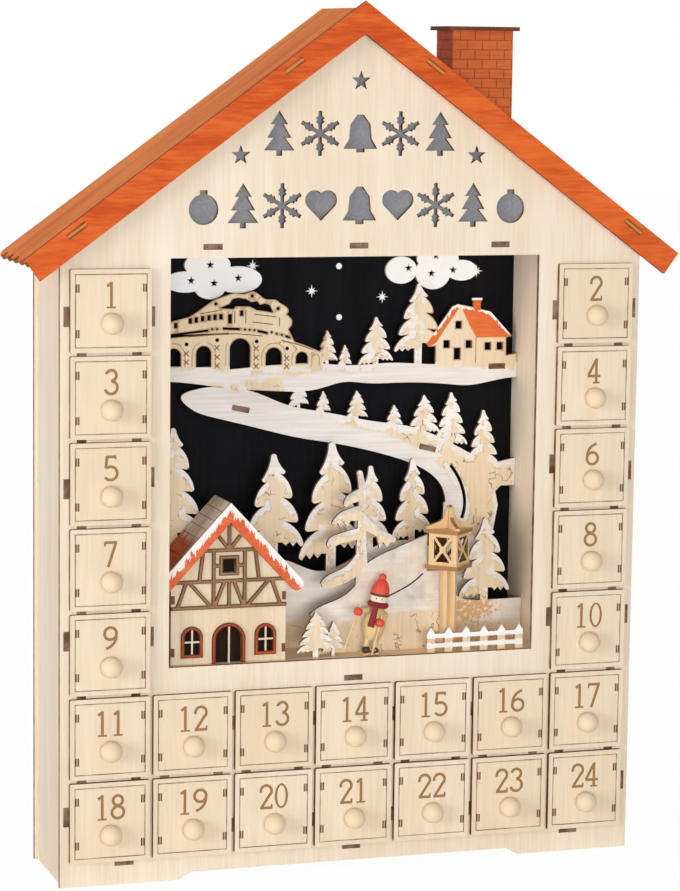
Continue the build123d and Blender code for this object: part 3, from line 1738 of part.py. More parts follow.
scarf = upright_rod(skier_x, body_top, collar_top, collar_radius)
with BuildPart() as skier_head:
    with Locations((skier_x, skier_y, head_centre)):
        Sphere(head_radius)
    split(bisect_by=Plane.XY.offset(collar_top), keep=Keep.TOP)
    split(bisect_by=Plane.XY.offset(hat_foot), keep=Keep.BOTTOM)
with BuildPart() as skier_hat:
    with Locations((skier_x, skier_y, hat_foot)):
        Cone(hat_radius, hat_top_radius, hat_height, align=(Align.CENTER, Align.CENTER, Align.MIN))
bobble_lift = math.sqrt(bobble_radius**2 - hat_top_radius**2)
with BuildPart() as skier_bobble:
    with Locations((skier_x, skier_y, hat_top + bobble_lift)):
        Sphere(bobble_radius)
    split(bisect_by=Plane.XY.offset(hat_top), keep=Keep.TOP)

hand_x = skier_x + hand_reach
hand_z = stage_top + hand_height
shoulder_z = body_top - arm_radius
arm_run = math.hypot(hand_reach, shoulder_z - hand_z)
arm_plane = Plane(
    origin=(skier_x, skier_y, shoulder_z),
    x_dir=(0, 1, 0),
    z_dir=(hand_reach, 0, hand_z - shoulder_z),
)
with BuildPart() as mitten:
    with Locations((hand_x, skier_y, hand_z)):
        Sphere(hand_radius)
with BuildPart() as arm:
    with BuildSketch(arm_plane):
        Circle(arm_radius)
    extrude(amount=arm_run)
    add(body, mode=Mode.SUBTRACT)
    add(mitten.part, mode=Mode.SUBTRACT)
with BuildPart() as pole:
    with BuildSketch(Plane.XY.offset(stage_top)):
        with Locations((hand_x, skier_y)):
            Circle(pole_radius)
    extrude(amount=hand_height)
    add(mitten.part, mode=Mode.SUBTRACT)


def left_copy(piece):
    with BuildPart() as copy:
        mirror(piece, about=Plane.YZ.offset(skier_x))
    return copy.part


right_limb = [mitten.part, arm.part, pole.part]
skier_pieces = [*skis, *boots_and_legs, body, scarf, skier_head.part, skier_hat.part, skier_bobble.part]
save(group("skier", skier_pieces + right_limb + [left_copy(piece) for piece in right_limb]), "skier")
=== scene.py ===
# %% [markdown]
# # A wooden advent calendar
# The calendar is a house-shaped case of laser-cut birch plywood with numbered drawers round a window.
# The CAD frame already holds every board at its true size and place. This lesson gives the boards their
# finishes and models by hand what a plain sheet can't show: paint, snow, stars and a turned figure.

# %% Load the frame
import math

import bpy
import numpy as np
from mathutils import Color, Matrix, Vector


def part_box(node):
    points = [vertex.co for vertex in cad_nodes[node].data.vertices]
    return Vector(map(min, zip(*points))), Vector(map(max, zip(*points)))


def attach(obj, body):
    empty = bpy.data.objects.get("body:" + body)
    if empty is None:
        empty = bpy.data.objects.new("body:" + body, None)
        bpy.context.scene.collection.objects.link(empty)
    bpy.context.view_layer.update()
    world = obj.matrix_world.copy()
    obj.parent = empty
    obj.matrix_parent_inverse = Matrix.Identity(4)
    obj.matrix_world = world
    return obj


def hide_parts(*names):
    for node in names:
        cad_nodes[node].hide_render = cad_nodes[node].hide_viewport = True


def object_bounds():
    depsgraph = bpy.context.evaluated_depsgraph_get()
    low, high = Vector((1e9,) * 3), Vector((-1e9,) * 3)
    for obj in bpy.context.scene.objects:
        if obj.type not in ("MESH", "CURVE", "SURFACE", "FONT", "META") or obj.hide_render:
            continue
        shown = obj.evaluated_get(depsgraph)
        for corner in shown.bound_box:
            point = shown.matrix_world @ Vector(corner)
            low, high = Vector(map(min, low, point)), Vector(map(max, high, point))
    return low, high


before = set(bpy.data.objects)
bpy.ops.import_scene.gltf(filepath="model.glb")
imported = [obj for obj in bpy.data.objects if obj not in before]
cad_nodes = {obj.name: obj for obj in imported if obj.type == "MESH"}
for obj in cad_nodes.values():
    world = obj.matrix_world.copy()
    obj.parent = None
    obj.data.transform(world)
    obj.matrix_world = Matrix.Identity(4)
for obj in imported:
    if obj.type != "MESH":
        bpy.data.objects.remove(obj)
cad_low, cad_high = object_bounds()
mm = 0.001
panel_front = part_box("front_panel")[0].y
stage_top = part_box("stage_floor")[1].z
niche_low, niche_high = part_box("sky_board")
niche_width = niche_high.x - niche_low.x
niche_height = niche_high.z - niche_low.z
print("CAD box in mm:", [round(v / mm, 1) for v in cad_high - cad_low], "nodes:", len(cad_nodes))

# %% [markdown]
# ## Camera
# The photograph is taken from the left, a little above the middle, with a long lens. A camera could be aimed
# by eye, but here its place and turn are worked out from sizes that can be read in the picture, so that every
# edge of the CAD frame falls where the photograph has it. The lens follows from the focal length in pixels.


# %% Place the camera
def pick(piece=None):
    """Deselects everything, because operators act on all that is selected, then makes one piece active."""
    bpy.ops.object.select_all(action="DESELECT")
    if piece is not None:
        piece.select_set(True)
        bpy.context.view_layer.objects.active = piece


picture_height = 891
focal_pixels = 3028.0
camera_spot = Vector((-0.52144, panel_front - 1.54944, 0.45069))
camera_yaw, camera_pitch, camera_roll = (math.radians(angle) for angle in (18.287, 7.498, 0.722))

camera_turn = (Matrix.Rotation(-camera_yaw, 3, "Z") @ Matrix.Rotation(math.pi / 2 - camera_pitch, 3, "X")
               @ Matrix.Rotation(camera_roll, 3, "Z"))
pick()
bpy.ops.object.camera_add(location=camera_spot)
camera = bpy.context.object
camera.name = "photo_camera"
camera.data.sensor_width = 36.0
camera.data.lens = focal_pixels / picture_height * camera.data.sensor_width
camera.rotation_euler = camera_turn.to_euler()
bpy.context.scene.camera = camera
print("lens:", round(camera.data.lens, 1), "mm")

# %% [markdown]
# ## Formulas in place of node chains
# A finish is a tree of nodes, and most of them are Math nodes. By hand they are placed and linked one at a time.
# In a script a long chain of them is hard to follow, so a small class lets a formula stand for the chain: a sum of
# two values adds a Math node to their tree. Colours are written as on a screen, from 0 to 255.


# %% Values that vary over a surface
def linear(screen_colour):
    """A screen colour of 0 to 255 as the linear colour that shaders use."""
    return (*Color([channel / 255 for channel in screen_colour]).from_srgb_to_scene_linear(), 1.0)


def feed(socket, value):
    """Links a value or a socket, or types in a number, a vector or a screen colour."""
    value = getattr(value, "socket", value)
    if isinstance(value, bpy.types.NodeSocket):
        socket.id_data.links.new(value, socket)
    else:
        socket.default_value = linear(value) if socket.type == "RGBA" else value


def new_node(tree, kind, inputs, **settings):
    """A node with its settings made and its inputs fed, by name or number; gives its outputs."""
    node = tree.nodes.new(f"ShaderNode{kind}")
    for name, value in settings.items():
        setattr(node, name, value)
    for name, value in inputs.items():
        feed(node.inputs[name], value)
    return node.outputs


class Value:
    """A number that differs from place to place; | keeps the larger of two values, and & the smaller."""

    def __init__(self, socket):
        self.socket, self.tree = socket, socket.id_data

    def __rsub__(self, other):
        return math_node("SUBTRACT", other, self)


def math_node(operation, *values):
    """One Math node in the tree that the values come from."""
    tree = next(value.tree for value in values if isinstance(value, Value))
    return Value(new_node(tree, "Math", dict(enumerate(values)), operation=operation)[0])


def sign_for(operation):
    return lambda *values: math_node(operation, *values)


for sign, operation in (("add", "ADD"), ("sub", "SUBTRACT"), ("mul", "MULTIPLY"), ("truediv", "DIVIDE"),
                        ("mod", "FLOORED_MODULO"), ("lt", "LESS_THAN"), ("gt", "GREATER_THAN"),
                        ("or", "MAXIMUM"), ("and", "MINIMUM"), ("abs", "ABSOLUTE")):
    setattr(Value, f"__{sign}__", sign_for(operation))

# %% [markdown]
# ## Studio
# The photograph has an even white ground and soft light that comes mostly from the front left. A large plane
# is the floor. It is mostly self-lit towards the camera, so it stays white and still shows a soft shadow.
# The world is plain white, and two wide area lamps give the boards their gentle shading. One stands low and nearly
# in front, so that its light reaches deep into the window, and the other lights the side wall and the left roof.


# %% Floor
def seen_ray(tree):
    """1 for a ray that shows the ground itself: from the camera, off a gloss or through glass."""
    path = new_node(tree, "LightPath", {})
    return Value(path["Is Camera Ray"]) | Value(path["Is Glossy Ray"]) | Value(path["Is Transmission Ray"])


def finish(name, roughness, specular, *nodes):
    """A new material and its node tree; the CAD nodes that are named wear it in place of their plain one."""
    material = bpy.data.materials.new(name)
    material.use_nodes = True
    shader = material.node_tree.nodes["Principled BSDF"].inputs
    shader["Roughness"].default_value = roughness
    shader["Specular IOR Level"].default_value = specular
    for node in nodes:
        cad_nodes[node].data.materials.clear()
        cad_nodes[node].data.materials.append(material)
    return material, material.node_tree


self_lit_share = 0.97
bpy.ops.mesh.primitive_plane_add(size=14, location=(0, 0, 0))
studio_floor = bpy.context.object
studio_floor.name = "studio_floor"
floor_paint, tree = finish("floor_paint", 0.9, 0.5)
floor_shader = tree.nodes["Principled BSDF"]
floor_shader.inputs["Base Color"].default_value = (0.9, 0.9, 0.9, 1)
floor_mix = new_node(tree, "MixShader", {"Fac": seen_ray(tree) * self_lit_share, 1: floor_shader.outputs[0],
                                         2: new_node(tree, "Emission", {})[0]})
feed(tree.nodes["Material Output"].inputs["Surface"], floor_mix[0])
studio_floor.data.materials.append(floor_paint)

# %% World and lamps
world_light, world_white = 0.32, 1.0
studio = bpy.data.worlds.new("studio")
studio.use_nodes = True
bpy.context.scene.world = studio
world_shade = studio.node_tree.nodes["Background"]
world_shade.inputs["Color"].default_value = (1, 1, 1, 1)
feed(world_shade.inputs["Strength"], seen_ray(studio.node_tree) * (world_white - world_light) + world_light)


def area_lamp(name, spot, target, width, height, power):
    bpy.ops.object.light_add(type="AREA", location=spot)
    lamp = bpy.context.object
    lamp.name = name
    lamp.data.shape = "RECTANGLE"
    lamp.data.size, lamp.data.size_y = width, height
    lamp.data.energy = power
    lamp.rotation_euler = (Vector(target) - Vector(spot)).to_track_quat("-Z", "Y").to_euler()


case_middle = (cad_low + cad_high) / 2
area_lamp("side_lamp", (-2.35, -0.95, 0.55), case_middle, 1.3, 1.1, 29)
area_lamp("front_lamp", (-0.25, -2.6, 0.28), case_middle, 1.9, 0.55, 34)
bpy.context.scene.view_settings.view_transform = "Standard"

# %% [markdown]
# ## Finishes: shared effects
# Bare birch, laser-burnt edges and streaky stain appear on many boards, so each is a node group that is built
# once and placed in each material with its own values. The grain is noise that is drawn out along one direction.
# A laser chars the cut edge, and on a sheet every face that doesn't lie in the sheet's plane is a cut edge,
# so the surface normal alone tells where the char is.


# %% Helpers for masks and coats
mix_mask, mix_base, mix_coat, mix_result = 0, 6, 7, 2


def rising(value, low, high):
    """0 below low, 1 above high, and a soft step between them."""
    inputs = {"Value": value, "From Min": low, "From Max": high}
    return Value(new_node(value.tree, "MapRange", inputs, interpolation_type="SMOOTHSTEP")["Result"])


def fading(value, low, high):
    """1 below low and 0 above high."""
    return 1 - rising(value, low, high)


def near(value, middle, reach):
    """1 where a value lies within reach of a middle."""
    return math_node("COMPARE", value, middle, reach)


def over(colour, *coats):
    """Coats, each a mask and a colour, laid one after the other over a colour."""
    for mask, coat in coats:
        inputs = {mix_mask: mask, mix_base: colour, mix_coat: coat}
        colour = new_node(mask.tree, "Mix", inputs, data_type="RGBA")[mix_result]
    return colour


def cover(tree, colour, height=None, strength=0.12, depth=0.2 * mm):
    """Gives a material its colour, and a bump where there is a height."""
    shader = tree.nodes["Principled BSDF"].inputs
    feed(shader["Base Color"], colour)
    if height is not None:
        bump = new_node(tree, "Bump", {"Strength": strength, "Distance": depth, "Height": height})
        feed(shader["Normal"], bump["Normal"])


# %% Helpers for places and noise
def place_vector(tree):
    return new_node(tree, "TexCoord", {})["Object"]


def axes(vector):
    """A vector as three separate values."""
    return [Value(socket) for socket in new_node(vector.id_data, "SeparateXYZ", {0: vector})]


def joined(*parts):
    """Two or three values as one vector."""
    return new_node(parts[0].tree, "CombineXYZ", dict(enumerate(parts)))[0]


def drawn_out(vector, direction):
    """Coordinates squeezed along a direction, so that noise on them is drawn out there."""
    return new_node(vector.id_data, "VectorMath", {0: vector, 1: direction}, operation="MULTIPLY")["Vector"]


def noise(vector, scale, detail=3.0, roughness=0.55):
    inputs = {"Vector": vector, "Scale": scale, "Detail": detail, "Roughness": roughness}
    return Value(new_node(vector.id_data, "TexNoise", inputs)["Fac"])


# %% Helpers for groups
def effect_group(name, inputs, outputs):
    """An empty shader group with named sockets, and the sockets at its two ends."""
    tree = bpy.data.node_groups.new(name, "ShaderNodeTree")
    for socket_name, kind, value in inputs:
        socket = tree.interface.new_socket(socket_name, in_out="INPUT", socket_type=f"NodeSocket{kind}")
        socket.default_value = value
    for socket_name, kind in outputs:
        tree.interface.new_socket(socket_name, in_out="OUTPUT", socket_type=f"NodeSocket{kind}")
    return tree, tree.nodes.new("NodeGroupInput").outputs, tree.nodes.new("NodeGroupOutput").inputs


def place_group(tree, group, **values):
    """A group placed in a material; underscores in a value's name stand for spaces."""
    inputs = {name.replace("_", " "): value for name, value in values.items()}
    return new_node(tree, "Group", inputs, node_tree=group)


# %% Birch grain
birch_group, group_in, group_out = effect_group(
    "birch_grain",
    [("Direction", "Vector", (1, 1, 0.06)), ("Pale", "Color", (1, 1, 1, 1)), ("Dark", "Color", (0, 0, 0, 1))],
    [("Color", "Color"), ("Height", "Float")])
place = place_vector(birch_group)
along_grain = drawn_out(place, group_in["Direction"])
fibres = noise(along_grain, 620, 4)
figure = noise(along_grain, 70)
blotches = noise(place, 14, 2)
grain_mask = rising(fibres * 0.4 + figure * 0.35 + blotches * 0.25, 0.36, 0.66)
feed(group_out["Color"], over(group_in["Pale"], (grain_mask, group_in["Dark"])))
feed(group_out["Height"], fibres)


def grained(tree, direction, pale, dark):
    """Birch grain in two colours, and its fibres for the bump."""
    grain = place_group(tree, birch_group, Direction=direction, Pale=pale, Dark=dark)
    return grain["Color"], Value(grain["Height"])


# %% Laser char on cut edges
char_group, group_in, group_out = effect_group(
    "laser_char", [("Sheet Normal", "Vector", (0, 1, 0))], [("Mask", "Float")])
surface = new_node(char_group, "TexCoord", {})
normals = {0: surface["Normal"], 1: group_in["Sheet Normal"]}
in_plane = abs(Value(new_node(char_group, "VectorMath", normals, operation="DOT_PRODUCT")["Value"]))
char_patch = rising(noise(surface["Object"], 120, 2), 0.2, 0.75)
feed(group_out["Mask"], fading(in_plane, 0.4, 0.8) * (char_patch * 0.3 + 0.7))
facing_front = (0, 1, 0)


def cut_edge(tree, sheet_normal=facing_front):
    return Value(place_group(tree, char_group, Sheet_Normal=sheet_normal)["Mask"])


# %% Direction along the two roof slopes
roof_angle = math.radians(36.3)
roof_sin, roof_cos = math.sin(roof_angle), math.cos(roof_angle)
side_gap = 3.0
slope_group, _, group_out = effect_group("slope_direction", [], [("Vector", "Vector")])
slope_x, slope_y, slope_z = axes(place_vector(slope_group))
away = abs(slope_x)
run = away * roof_cos - slope_z * roof_sin
drop = away * roof_sin + slope_z * roof_cos
feed(group_out["Vector"], joined(math_node("SIGN", slope_x) * side_gap + run, slope_y, drop))
print("effects:", [group.name for group in bpy.data.node_groups])

# %% [markdown]
# ## Bare birch boards
# The case is unpainted. Seen from the front the plywood is a warm cream with faint upright grain, and every cut
# edge and tenon end is scorched brown. One function makes the finish for a sheet that lies across a given axis.

# %% Birch finishes for the three board directions
pale_birch, deep_birch = (242, 228, 207), (231, 211, 184)
char_brown = (94, 55, 25)
upright_grain, long_grain, even_grain = (1, 1, 0.05), (0.05, 1, 1), (1, 1, 1)


def birch_finish(name, nodes, sheet_normal, direction, pale=pale_birch, dark=deep_birch):
    _, tree = finish(name, 0.62, 0.15, *nodes)
    wood, fibres = grained(tree, direction, pale, dark)
    cover(tree, over(wood, (cut_edge(tree, sheet_normal), char_brown)), fibres)


facing_side, facing_up = (1, 0, 0), (0, 0, 1)
fronts, stage = ["front_panel", "back_panel"], ["stage_floor"]
uprights = ["side_panel_left", "side_panel_right", "niche_wall_left", "niche_wall_right", "lower_dividers"]
levels = ["base_board", "lower_shelf", "ceiling_board", "niche_top_board", "side_shelves"]
birch_finish("birch_front", fronts, facing_front, upright_grain)
birch_finish("birch_side", uprights, facing_side, upright_grain)
birch_finish("birch_level", levels, facing_up, long_grain)
birch_finish("birch_stage", stage, facing_up, long_grain, (248, 226, 192), (234, 206, 168))
print("birch boards dressed:", fronts + uprights + levels + stage)

# %% [markdown]
# ## Drawers
# All the drawers share one finish. Their places repeat at an even pitch, so the position inside one drawer
# cell is the object coordinate wrapped at that pitch. From it the material finds the tab ends and the charred
# seam round the box front, from the depth it finds the engraved number, and what stands proud is the knob.


# %% Position inside one drawer cell
def middle_of(node_name):
    low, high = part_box(node_name)
    return (low + high) / 2


cell_middle = middle_of("drawer_18")
cell_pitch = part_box("drawer_19")[0].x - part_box("drawer_18")[0].x
drawer_face = panel_front - 3 * mm
box_half = 19.3 * mm
tab_width, tab_half_height, tab_offset = 2.2 * mm, 2.2 * mm, 12 * mm
tab_middle = box_half - tab_width / 2
seam_half = 0.32 * mm

cell_group, _, group_out = effect_group(
    "drawer_cell", [], [(name, "Float") for name in ("Tab", "Seam", "Tone", "Depth")])
place_x, place_y, place_z = axes(place_vector(cell_group))


def wrapped(value, centre):
    """How far a place is from the middle of its cell, and the cell's number."""
    shifted = value - (centre - cell_pitch / 2)
    return abs(shifted % cell_pitch - cell_pitch / 2), math_node("FLOOR", shifted / cell_pitch)


across, cell_column = wrapped(place_x, cell_middle.x)
rise, cell_row = wrapped(place_z, cell_middle.z)
in_tab = near(across, tab_middle, tab_width / 2) * near(rise, tab_offset, tab_half_height)
pale_ply = near(across, tab_middle, tab_width / 6)
feed(group_out["Tab"], in_tab * (pale_ply * -0.45 + 0.95))
seam_gap = abs((across | rise) - box_half)
feed(group_out["Seam"], fading(seam_gap, seam_half * 0.5, seam_half * 1.5))
cell_chance = new_node(cell_group, "TexWhiteNoise", {"Vector": joined(cell_column, cell_row)})
feed(group_out["Tone"], cell_chance["Value"])
feed(group_out["Depth"], place_y - drawer_face)

# %% Drawer finish
drawers = [f"drawer_{number:02d}" for number in range(1, 25)]
_, tree = finish("drawer_birch_finish", 0.6, 0.15, *drawers)
tab, seam, tone, depth = (Value(socket) for socket in place_group(tree, cell_group))
wood, fibres = grained(tree, upright_grain, (240, 224, 200), (229, 208, 180))
front_edge = cut_edge(tree) * (depth < 3.2 * mm)
seam_char = rising(noise(place_vector(tree), 90, 2), 0.35, 0.65) * 0.4 + 0.3
scorched = front_edge | (tab | seam * seam_char) * near(depth, 0, 0.06 * mm)
engraved = near(depth, 0.35 * mm, 0.25 * mm) * (1 - seam)
drawer_colour = over(wood, (tone * 0.5, (228, 204, 171)), (scorched, char_brown), (engraved, (164, 124, 76)),
                     (depth < -0.08 * mm, (234, 212, 180)))
cover(tree, drawer_colour, fibres, 0.1)
print(len(drawers), "drawers, pitch:", round(cell_pitch / mm, 1), "mm")

# %% [markdown]
# ## Stained roof and chimney
# The roof, fascia and chimney are stained orange red. Stain soaks in unevenly, so streaks run along the board.
# On the two slopes the streaks follow the slope, which the slope group gives, and the ends of the roof's tenons
# show their pale core. The chimney's bricks are engraved lines in the CAD walls, and what lies a little below the
# outer faces is darker.


# %% Stain finishes
def stain_colour(tree, light, dark, along_slope=False):
    """Streaky stain, and its finest streaks for the bump."""
    place = place_group(tree, slope_group)["Vector"] if along_slope else place_vector(tree)
    streaks = drawn_out(place, (0.05, 1, 1) if along_slope else (0.12, 0.12, 1))
    fine = noise(streaks, 640, 4)
    soaked = fine * 0.35 + noise(streaks, 110) * 0.35 + noise(place, 11, 2) * 0.3
    return over(light, (rising(soaked, 0.38, 0.64), dark)), fine


def stain_finish(name, nodes, light, dark, sheet_normal, along_slope=False):
    material, tree = finish(name, 0.6, 0.08, *nodes)
    stained, fine = stain_colour(tree, light, dark, along_slope)
    colour = over(stained, (cut_edge(tree, sheet_normal) * 0.85, (92, 48, 30)))
    if along_slope:
        _, _, drop = axes(place_group(tree, slope_group)["Vector"])
        _, end_y, _ = axes(place_vector(tree))
        colour = over(colour, (near(drop, board_middle, 0.65 * mm) * (end_y < tenon_face), (196, 132, 76)))
    cover(tree, colour, fine)
    return material


corners = np.array([vertex.co for vertex in cad_nodes["roof_board_left"].data.vertices])
drops = np.abs(corners[:, 0]) * roof_sin + corners[:, 2] * roof_cos
tenon_face = float(corners[:, 1].min() + 0.2 * mm)
board_middle = float(np.median(drops[corners[:, 1] < tenon_face]))
roof_stain = (250, 148, 72), (222, 108, 48)
stain_finish("fascia_red_stain", ["roof_fascia"], (226, 110, 48), (194, 75, 31), facing_front)
for side, slant in (("right", roof_sin), ("left", -roof_sin)):
    stain_finish(f"roof_red_stain_{side}", [f"roof_board_{side}"], *roof_stain, (slant, 0, roof_cos), True)
stain_finish("cap_brown_stain", ["chimney_cap"], (170, 112, 86), (128, 78, 56), facing_up)

# %% Brick stain
stack_middle = middle_of("chimney_sides")
stack_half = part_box("chimney_sides")[1] - stack_middle
_, tree = finish("brick_red_stain", 0.6, 0.25, "chimney_front", "chimney_back", "chimney_sides")
stained, fine = stain_colour(tree, (216, 112, 50), (190, 88, 37))
brick_x, brick_y, _ = axes(place_vector(tree))
inset = (stack_half.x - abs(brick_x - stack_middle.x)) & (stack_half.y - abs(brick_y - stack_middle.y))
cover(tree, over(stained, ((inset > 0.1 * mm) * 0.55, (112, 54, 28))), fine)


# %% Grey sheet behind the pierced gable
def two_tone_finish(name, nodes, roughness, specular, direction, pale, dark, relief=None):
    """Felt, soot or brushed paint: two close colours along one direction, and a relief where it shows one."""
    material, tree = finish(name, roughness, specular, *nodes)
    colour, fibres = grained(tree, direction, pale, dark)
    cover(tree, colour, fibres if relief else None, relief)
    return material


two_tone_finish("grey_sheet", ["ornament_backing"], 0.8, 0.3, even_grain, (150, 150, 154), (128, 128, 133))
print("stains:", [m.name for m in bpy.data.materials if "stain" in m.name])

# %% [markdown]
# ## Night sky and clouds
# The board at the back is painted almost black, and its upright grain still shows a little. The clouds are white.
# The stars are printed on the board: thin white shapes with eight points. One star starts as a flat circle whose
# vertices are pulled in by turns, then it is given a little thickness and copied.

# %% Sky and cloud paint
sky_paint = two_tone_finish("sky_paint_finish", ["sky_board"], 0.8, 0.12, upright_grain, (10, 10, 13), (20, 19, 23),
                            0.15)
cloud_white, tree = finish("cloud_white", 0.65, 0.3, "clouds")
brushed, _ = grained(tree, long_grain, (255, 255, 255), (252, 252, 253))
cover(tree, over(brushed, (cut_edge(tree) * 0.7, (205, 190, 172))))


# %% Helpers for modelling by hand
def edit_mesh():
    """Edit mode with the whole mesh selected."""
    bpy.ops.object.mode_set(mode="EDIT")
    bpy.ops.mesh.select_all(action="SELECT")


def leave_edit():
    bpy.ops.object.mode_set(mode="OBJECT")


def bake_place():
    """Puts the place, turn and size of what is selected into its mesh."""
    bpy.ops.object.transform_apply(location=True, rotation=True, scale=True)


def thicken(thickness):
    """Pushes the active flat shape out towards the front."""
    edit_mesh()
    bpy.ops.mesh.extrude_region_move(TRANSFORM_OT_translate={"value": (0, -thickness, 0)})
    bpy.ops.mesh.select_all(action="SELECT")
    bpy.ops.mesh.normals_make_consistent(inside=False)
    leave_edit()


def front_circle(points, radius):
    """A filled circle round the origin that faces the front."""
    pick()
    bpy.ops.mesh.primitive_circle_add(vertices=points, radius=radius, fill_type="NGON",
                                      rotation=(math.pi / 2, 0, 0), location=(0, 0, 0))
    bake_place()
    return bpy.context.object


def hand_in(piece, name, material):
    """Names a modelled piece, gives it its finish, and lets it ride with the case."""
    piece.name = name
    piece.data.name = name
    piece.data.materials.clear()
    piece.data.materials.append(material)
    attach(piece, "case")


# %% Printed stars
def in_window(u, v):
    """A place in the window from thousandths of its width and height."""
    return u / 1000 * niche_width, stage_top + v / 1000 * niche_height


def print_copies(piece, spots, depth_y, name, material):
    """Copies a flat piece that is modelled round the origin to places in the window."""
    for number, (u, v) in enumerate(spots, 1):
        pick(piece)
        bpy.ops.object.duplicate()
        x, z = in_window(u, v)
        bpy.context.object.location = (x, depth_y, z)
        bake_place()
        hand_in(bpy.context.object, f"{name}_{number}", material)
    bpy.data.objects.remove(piece)


def flat_shape(points, radius, shares, thickness):
    """A circle facing the front whose vertices are scaled by repeating shares, then thickened."""
    piece = front_circle(points, radius)
    for index, vertex in enumerate(piece.data.vertices):
        vertex.co *= shares[index % len(shares)]
    thicken(thickness)
    return piece


print_thickness = 0.1 * mm
star_points = (1, 0.3, 0.72, 0.3)
star_spots = [(-33, 877), (151, 860), (-185, 941), (400, 922), (-410, 900)]
dot_spots = [(37, 938), (39, 811), (-300, 870), (270, 945)]
star = flat_shape(16, 3.7 * mm, star_points, print_thickness)
print_copies(star, star_spots, niche_low.y, "sky_star", cloud_white)
dot = flat_shape(20, 1.7 * mm, (1,), print_thickness)
print_copies(dot, dot_spots, niche_low.y, "sky_dot", cloud_white)
print("stars and dots:", len(star_spots) + len(dot_spots))

# %% [markdown]
# ## Snow-painted layers
# The hills, firs and village are birch plates on which white paint was dabbed: thick on open ground, and along
# the rims and branch tips of the trees, with bare wood left in the middle. Paint that follows the outline needs
# to know how far each point is from the rim. So each plate is copied, merged and cut into a fine grid with
# bisect, and the distance to the nearest cut edge is stored as an attribute that the material reads.


# %% A copy of a plate with its distance to the rim
def plate_copy(node_name, spacing):
    pick(cad_nodes[node_name])
    bpy.ops.object.duplicate()
    plate = bpy.context.object
    for key in [key for key in plate.keys() if key.startswith("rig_")]:
        del plate[key]
    edit_mesh()
    bpy.ops.mesh.remove_doubles(threshold=0.01 * mm)
    low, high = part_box(node_name)
    for axis in (0, 2):
        normal, point = Vector(), Vector()
        normal[axis] = 1
        for cut in np.arange(low[axis] + spacing / 2, high[axis], spacing):
            point[axis] = cut
            bpy.ops.mesh.select_all(action="SELECT")
            bpy.ops.mesh.bisect(plane_co=point, plane_no=normal)
    leave_edit()
    return plate


def sides_of(corners):
    """Each corner of an outline with the next one, and the last with the first."""
    return list(zip(corners, corners[1:] + corners[:1]))


def faces_front(face):
    return face.normal.y < -0.9


def rim_distance(plate):
    """Distance of each front vertex to the outline, and how far the nearest outline faces up."""
    sides = []
    for face in filter(faces_front, plate.data.polygons):
        sides += sides_of(list(face.vertices))
    known = set(sides)
    rim = np.array([(start, end) for start, end in sides if (end, start) not in known])
    places = np.array([vertex.co for vertex in plate.data.vertices])[:, [0, 2]]
    starts, ends = places[rim[:, 0]], places[rim[:, 1]]
    spans = ends - starts
    lengths = np.maximum((spans ** 2).sum(1), 1e-12)
    outward_up = -spans[:, 0] / np.sqrt(lengths)
    front = np.unique(sides)
    distance, rim_up = np.zeros(len(places)), np.zeros(len(places))
    for block in np.array_split(front, max(1, len(front) // 500)):
        offsets = places[block][:, None, :] - starts[None]
        shares = np.clip((offsets * spans[None]).sum(2) / lengths, 0, 1)
        gaps = np.linalg.norm(offsets - shares[..., None] * spans[None], axis=2)
        nearest = gaps.argmin(1)
        distance[block] = gaps[np.arange(len(block)), nearest]
        rim_up[block] = outward_up[nearest]
    return distance, rim_up


# %% Attributes for the paint
plate_facts = ("rim", "facing_up", "ground", "bare", "coat", "share_u", "share_v")


def store(plate, name, values):
    layer = plate.data.attributes.new(name, "FLOAT", "POINT")
    layer.data.foreach_set("value", np.asarray(values, dtype=np.float32))


def stand_in(plate, name, material, node_name, distance):
    """Hands in a copy of a plate that stands for its CAD node."""
    hand_in(plate, name, material)
    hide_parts(node_name)
    print(plate.name, "faces:", len(plate.data.polygons), "widest:", round(distance.max() / mm, 1), "mm")


def under(line):
    """1 well under a line that is given in thousandths of the window, -1 well above it."""
    line_u, line_v = np.array(line).T / 1000
    return lambda u, v: np.clip((np.interp(u, line_u, line_v) - v) * niche_height / (3 * mm), -1, 1)


def between(upper_line, lower_line):
    return lambda u, v: np.minimum(under(upper_line)(u, v), -under(lower_line)(u, v))


def nowhere(u, v):
    return 0 * u - 1


def paint_plate(node_name, spacing, coat, ground, bare=nowhere):
    """ground(u, v) says where open snow lies, bare(u, v) where no rim snow is, and coat how thick the paint is."""
    plate = plate_copy(node_name, spacing)
    distance, rim_up = rim_distance(plate)
    places = np.array([vertex.co for vertex in plate.data.vertices])
    u, v = places[:, 0] / niche_width, (places[:, 2] - stage_top) / niche_height
    facts = distance, rim_up, ground(u, v), bare(u, v), coat + 0 * u, u, v
    for name, values in zip(plate_facts, facts):
        store(plate, name, values)
    stand_in(plate, f"{node_name}_painted", snow_finish, node_name, distance)
    return plate


# %% Where the snow lies
def attribute(tree, name):
    return Value(new_node(tree, "Attribute", {}, attribute_name=name)["Fac"])


